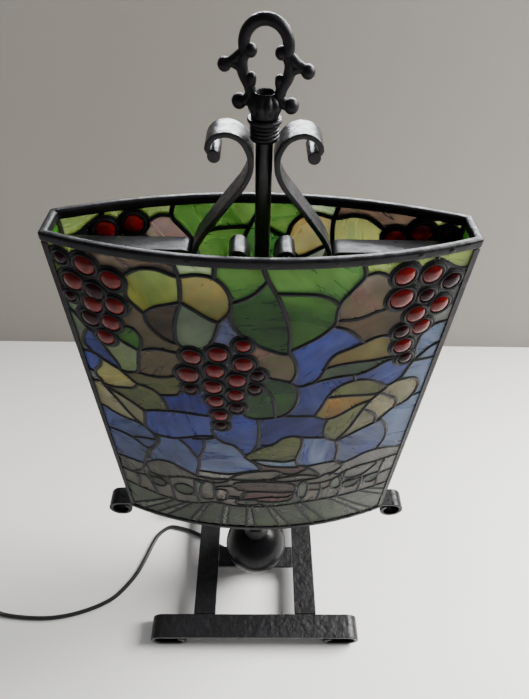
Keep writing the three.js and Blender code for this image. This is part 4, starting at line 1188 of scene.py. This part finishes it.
def makeBulbs():
    v = lightValues
    centre = v["bulbFoot"] + 10 + math.sqrt(v["bulb"] ** 2 - v["cap"] ** 2)
    for name, side in (("left", -1), ("right", 1)):
        profile = [(0, v["bulbFoot"]), (v["cap"] - 1, v["bulbFoot"]), (v["cap"] - 1, v["bulbFoot"] + 6)]
        opening = math.asin((v["cap"] - 0.6) / v["bulb"])
        for i in range(25):
            turn = -math.pi / 2 + opening + i / 24 * (math.pi - opening)
            profile.append((max(v["bulb"] * math.cos(turn), 0), centre + v["bulb"] * math.sin(turn)))
        body = "bulb_" + name
        turnedPiece(body, profile, bulbWhite, body, ["bulb_glass_" + name], 40, (side * v["spread"], 0))


cordValues = {
    "radius": 2.7, "switch": (-374, -66), "switchSize": (58, 25, 16), "coil": (-448, -98),
    "plug": (-428, -22), "plugSize": (38, 32, 14), "rings": (36.6, 31.0, 25.4), "layers": (2.8, 8.4),
    "length": 1.6,
    "way": [
        (0, 0, 15.7), (0, 0, 11.5), (-2.6, 1.2, 6.2), (-10, 4.6, 3.1), (-46, 22, 2.7), (-82, 41, 2.7),
        (-109, 51, 2.7), (-127, 53, 2.7), (-142, 41, 2.7), (-149, 26, 2.7), (-156, 6, 2.7),
        (-164, -13, 2.7), (-176, -31, 2.7), (-190, -46, 2.7), (-205, -55, 2.7), (-225, -63, 2.7),
        (-248, -69, 2.7), (-274, -72, 2.7), (-305, -71, 2.7), (-330, -68, 3.6), (-340, -66, 8),
        (-374, -66, 8), (-405, -66, 7.6), (-416, -64, 4.4), (-428, -62, 2.9),
    ],
    "tail": [
        (-462, -61, 7.4), (-474, -56, 4.6), (-480, -44, 2.9), (-477, -31, 3.4), (-466, -24, 6.4),
        (-456, -22, 7), (-447, -22, 7),
    ],
}


def eased(value, low, high):
    share = min(max((value - low) / (high - low), 0), 1)
    return share * share * (3 - 2 * share)


# The coil: three turns inward on the table and two outward on top of them, as (x, y, z).
def coilWay():
    v = cordValues
    outer, middle, inner = v["rings"]
    low, high = v["layers"]
    points = []
    count = 5 * 36
    for i in range(count + 1):
        t = 5 * i / count
        radius = outer - (outer - middle) * eased(t, 0.8, 1) - (middle - inner) * eased(t, 1.8, 2)
        radius += (middle - inner) * eased(t, 3.3, 3.5) + (outer - middle) * eased(t, 4.3, 4.5)
        turn = math.pi / 2 + math.tau * t
        level = low + (high - low) * eased(t, 2.75, 3)
        points.append((v["coil"][0] + radius * math.cos(turn), v["coil"][1] + radius * math.sin(turn), level))
    return points


def makeCord():
    v = cordValues
    coil = coilWay()
    line = smoothLine([*v["way"], coil[0]], 4)[:-1] + [Vector(p) for p in coil[:-1]]
    line += smoothLine([coil[-1], *v["tail"]], 4)
    data = bpy.data.curves.new("cord", "CURVE")
    data.dimensions = "3D"
    data.bevel_depth = v["radius"] * mm
    data.bevel_resolution = 4
    data.use_fill_caps = True
    spline = data.splines.new("POLY")
    spline.points.add(len(line) - 1)
    for point, at in zip(spline.points, line):
        point.co = (*(at * mm), 1)
    spline.use_smooth = True
    data.materials.append(blackPlastic)
    cord = bpy.data.objects.new("cord", data)
    scene.collection.objects.link(cord)
    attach(cord, "stand")
    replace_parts(cord, "cord_run", "cord_coil", "cord_to_coil", "cord_tail")
    length = sum((b - a).length for a, b in zip(line, line[1:])) * mm
    print("cord length", round(length, 3))
    return cord


def makeSwitch():
    v = cordValues
    x, y = v["switch"]
    length, width, height = v["switchSize"]
    half = height / 2
    well = bmesh.new()
    verts = newVerts(well, bmesh.ops.create_cube, size=1)
    bmesh.ops.scale(well, vec=(21.6, 13.2, 20), verts=verts)
    bmesh.ops.translate(well, verts=verts, vec=(x, y, half - 2 + 10))
    cutter = bpy.data.objects.new("cutter", meshOf(well, "cutter"))
    scene.collection.objects.link(cutter)
    pieces = []
    for name, level in (("lower", half / 2 - 0.08), ("upper", height - half / 2 + 0.08)):
        block = roundedBlock("switch_" + name, (length, width, half - 0.3), (x, y, level), 5, 1.3)
        block = refined(block, ("BOOLEAN", {"operation": "DIFFERENCE", "object": cutter, "solver": "EXACT"}))
        pieces.append(placed("switchHalf_" + name, block, blackPlastic, "stand", ["switch_" + name]))
    bpy.data.objects.remove(cutter)
    bm = bmesh.new()
    verts = newVerts(bm, bmesh.ops.create_cube, size=1)
    bmesh.ops.scale(bm, vec=(20, 12, 6.4), verts=verts)
    longEdges = [e for e in bm.edges if abs(e.verts[0].co.x - e.verts[1].co.x) > 1]
    bmesh.ops.subdivide_edges(bm, edges=longEdges, cuts=5)
    for vert in bm.verts:
        vert.co.z += 1.4 * abs(vert.co.x / 10) ** 1.6 * (1 if vert.co.z > 0 else 0.9) - 0.6
    bmesh.ops.bevel(
        bm, geom=[e for e in bm.edges if e.calc_face_angle(0) > 1], offset=0.5, segments=2, profile=0.5,
        affect="EDGES", material=-1,
    )
    bmesh.ops.translate(bm, verts=bm.verts, vec=(x, y, height - 1.9))
    rocker = placed("rocker", meshOf(bm, "rocker"), bakelite, "rocker", ["switch_rocker"])
    return [*pieces, rocker]


def makePlug():
    v = cordValues
    x, y = v["plug"]
    length, width, height = v["plugSize"]
    bm = bmesh.new()
    outline = [(-length / 2, -5), (-length / 2 + 12, -width / 2), (length / 2, -width / 2),
               (length / 2, width / 2), (-length / 2 + 12, width / 2), (-length / 2, 5)]
    face = bm.faces.new([bm.verts.new((x + px, y + py, 0)) for px, py in outline])
    grown = bmesh.ops.extrude_face_region(bm, geom=[face])["geom"]
    bmesh.ops.translate(bm, verts=[e for e in grown if isinstance(e, bmesh.types.BMVert)], vec=(0, 0, height))
    bmesh.ops.bevel(bm, geom=bm.edges[:], offset=1.8, segments=3, profile=0.5, affect="EDGES", material=-1)
    body = placed("plugBody", meshOf(bm, "plugBody"), blackPlastic, "stand", ["plug_body"])
    pins = []
    for name, side in (("front", -1), ("back", 1)):
        bm = bmesh.new()
        bmesh.ops.create_cone(bm, cap_ends=True, segments=24, radius1=2.1, radius2=2.1, depth=18)
        bmesh.ops.bevel(
            bm, geom=[e for e in bm.edges if e.calc_face_angle(0) > 1], offset=0.8, segments=3, profile=0.5,
            affect="EDGES", material=-1,
        )
        bmesh.ops.rotate(bm, verts=bm.verts, cent=(0, 0, 0), matrix=Matrix.Rotation(math.pi / 2, 3, "Y"))
        bmesh.ops.translate(bm, verts=bm.verts, vec=(x + length / 2 + 9.3, y + side * 9, height / 2))
        pins.append(placed("plugPin_" + name, meshOf(bm, "pin"), brass, "stand", ["plug_pin_" + name]))
    return [body, *pins]


makeBulbs()
cord = makeCord()
onCord = makeSwitch() + makePlug()
print("cord, switch and plug made")


# Looks of the parts kept from the frame

keptLooks = {
    "center_rod": iron, "base_nut": steel, "arm_nut": steel, "hub_nut": steel, "finial_stud": steel,
    "socket_hub": brass, "branch_left": brass, "branch_right": brass, "socket_shell_left": brass,
    "socket_shell_right": brass, "socket_contact_left": bakelite, "socket_contact_right": bakelite,
    "bulb_cap_left": steel, "bulb_cap_right": steel, "supply_lead": blackPlastic,
    "cord_bushing": blackPlastic,
    "corner_came_front_left": lead, "corner_came_front_right": lead, "corner_came_back_left": lead,
    "corner_came_back_right": lead,
}
for name, material in keptLooks.items():
    node = frame["nodes"][name]
    node.data.materials.clear()
    node.data.materials.append(material)
    node.data.shade_smooth()
    node.data.set_sharp_from_angle(angle=math.radians(32))
    if name.startswith("corner_came"):
        edge = node.modifiers.new("edge", "BEVEL")
        edge.width = 1.1 * mm
        edge.segments = 3
        edge.limit_method = "ANGLE"
        edge.angle_limit = math.radians(40)

# The material slots of the record's subparts are looked up for the pieces that stand for them; nothing is set
# from them.
rows = frame["record"].get("subparts", [])
slotOf = {row["node"]: row["material_slot"] for row in rows if "material_slot" in row}
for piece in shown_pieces():
    for node in piece.get("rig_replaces", []):
        if node in slotOf:
            break


# Floor, backdrop and light

stageValues = {
    "floor": (0.9, 0.89, 0.875), "wall": (0.36, 0.335, 0.30), "wallY": 0.44, "wallTop": 0.64,
    "world": (0.75, 0.76, 0.78), "worldStrength": 0.28,
}


def stagePlane(name, size, place, turn, look):
    bm = bmesh.new()
    bmesh.ops.create_grid(bm, x_segments=1, y_segments=1, size=1)
    bmesh.ops.scale(bm, vec=(size[0] / 2, size[1] / 2, 1), verts=bm.verts)
    bmesh.ops.rotate(bm, verts=bm.verts, cent=(0, 0, 0), matrix=Matrix.Rotation(math.radians(turn), 3, "X"))
    bmesh.ops.translate(bm, verts=bm.verts, vec=place)
    mesh = bpy.data.meshes.new(name)
    bm.to_mesh(mesh)
    bm.free()
    mesh.materials.append(look.material)
    plane = bpy.data.objects.new(name, mesh)
    scene.collection.objects.link(plane)


def makeStage():
    v = stageValues
    floorLook = Look("floor", v["floor"], 0.55)
    floorLook.drive("Roughness", floorLook.spread(floorLook.noise(6), 0.5, 0.62))
    stagePlane("floor", (6, 4.0 + v["wallY"]), (0, v["wallY"] / 2 - 2.0, 0), 0, floorLook)
    wallLook = Look("backdrop", v["wall"], 0.9)
    wallLook.drive("Roughness", wallLook.spread(wallLook.noise(5), 0.85, 0.95))
    # The lamp can be seen through the backdrop from behind.
    behind = wallLook.node("ShaderNodeNewGeometry").outputs["Backfacing"]
    clear = wallLook.node("ShaderNodeBsdfTransparent").outputs["BSDF"]
    mix = wallLook.node("ShaderNodeMixShader", {0: behind, 1: wallLook.shader.outputs["BSDF"], 2: clear})
    oneSided = mix.outputs["Shader"]
    output = next(n for n in wallLook.nodes if n.type == "OUTPUT_MATERIAL")
    wallLook.links.new(oneSided, output.inputs["Surface"])
    stagePlane("backdrop", (6, v["wallTop"]), (0, v["wallY"], v["wallTop"] / 2), 90, wallLook)


def areaLight(name, place, target, size, power, colour):
    data = bpy.data.lights.new(name, "AREA")
    data.shape = "RECTANGLE"
    data.size, data.size_y = size
    data.energy = power
    data.color = colour
    light = bpy.data.objects.new(name, data)
    light.location = place
    light.rotation_euler = (Vector(target) - Vector(place)).to_track_quat("-Z", "Y").to_euler()
    scene.collection.objects.link(light)


def makeLight():
    v = stageValues
    world = bpy.data.worlds.new("world")
    world.use_nodes = True
    background = world.node_tree.nodes["Background"]
    background.inputs["Color"].default_value = (*v["world"], 1)
    background.inputs["Strength"].default_value = v["worldStrength"]
    scene.world = world
    areaLight("windowBehind", (0.5, 1.9, 1.42), (0, 0, 0.5), (2.4, 0.6), 235, (0.95, 0.97, 1.0))
    areaLight("skyBehind", (0, 2.2, 2.5), (0, 0, 0.5), (2.6, 0.9), 26, (0.95, 0.97, 1.0))
    areaLight("softSide", (1.75, 0.45, 1.6), (0.3, -0.1, 0.1), (1.2, 1.2), 200, (1.0, 0.99, 0.97))


makeStage()
makeLight()
print("stage made")
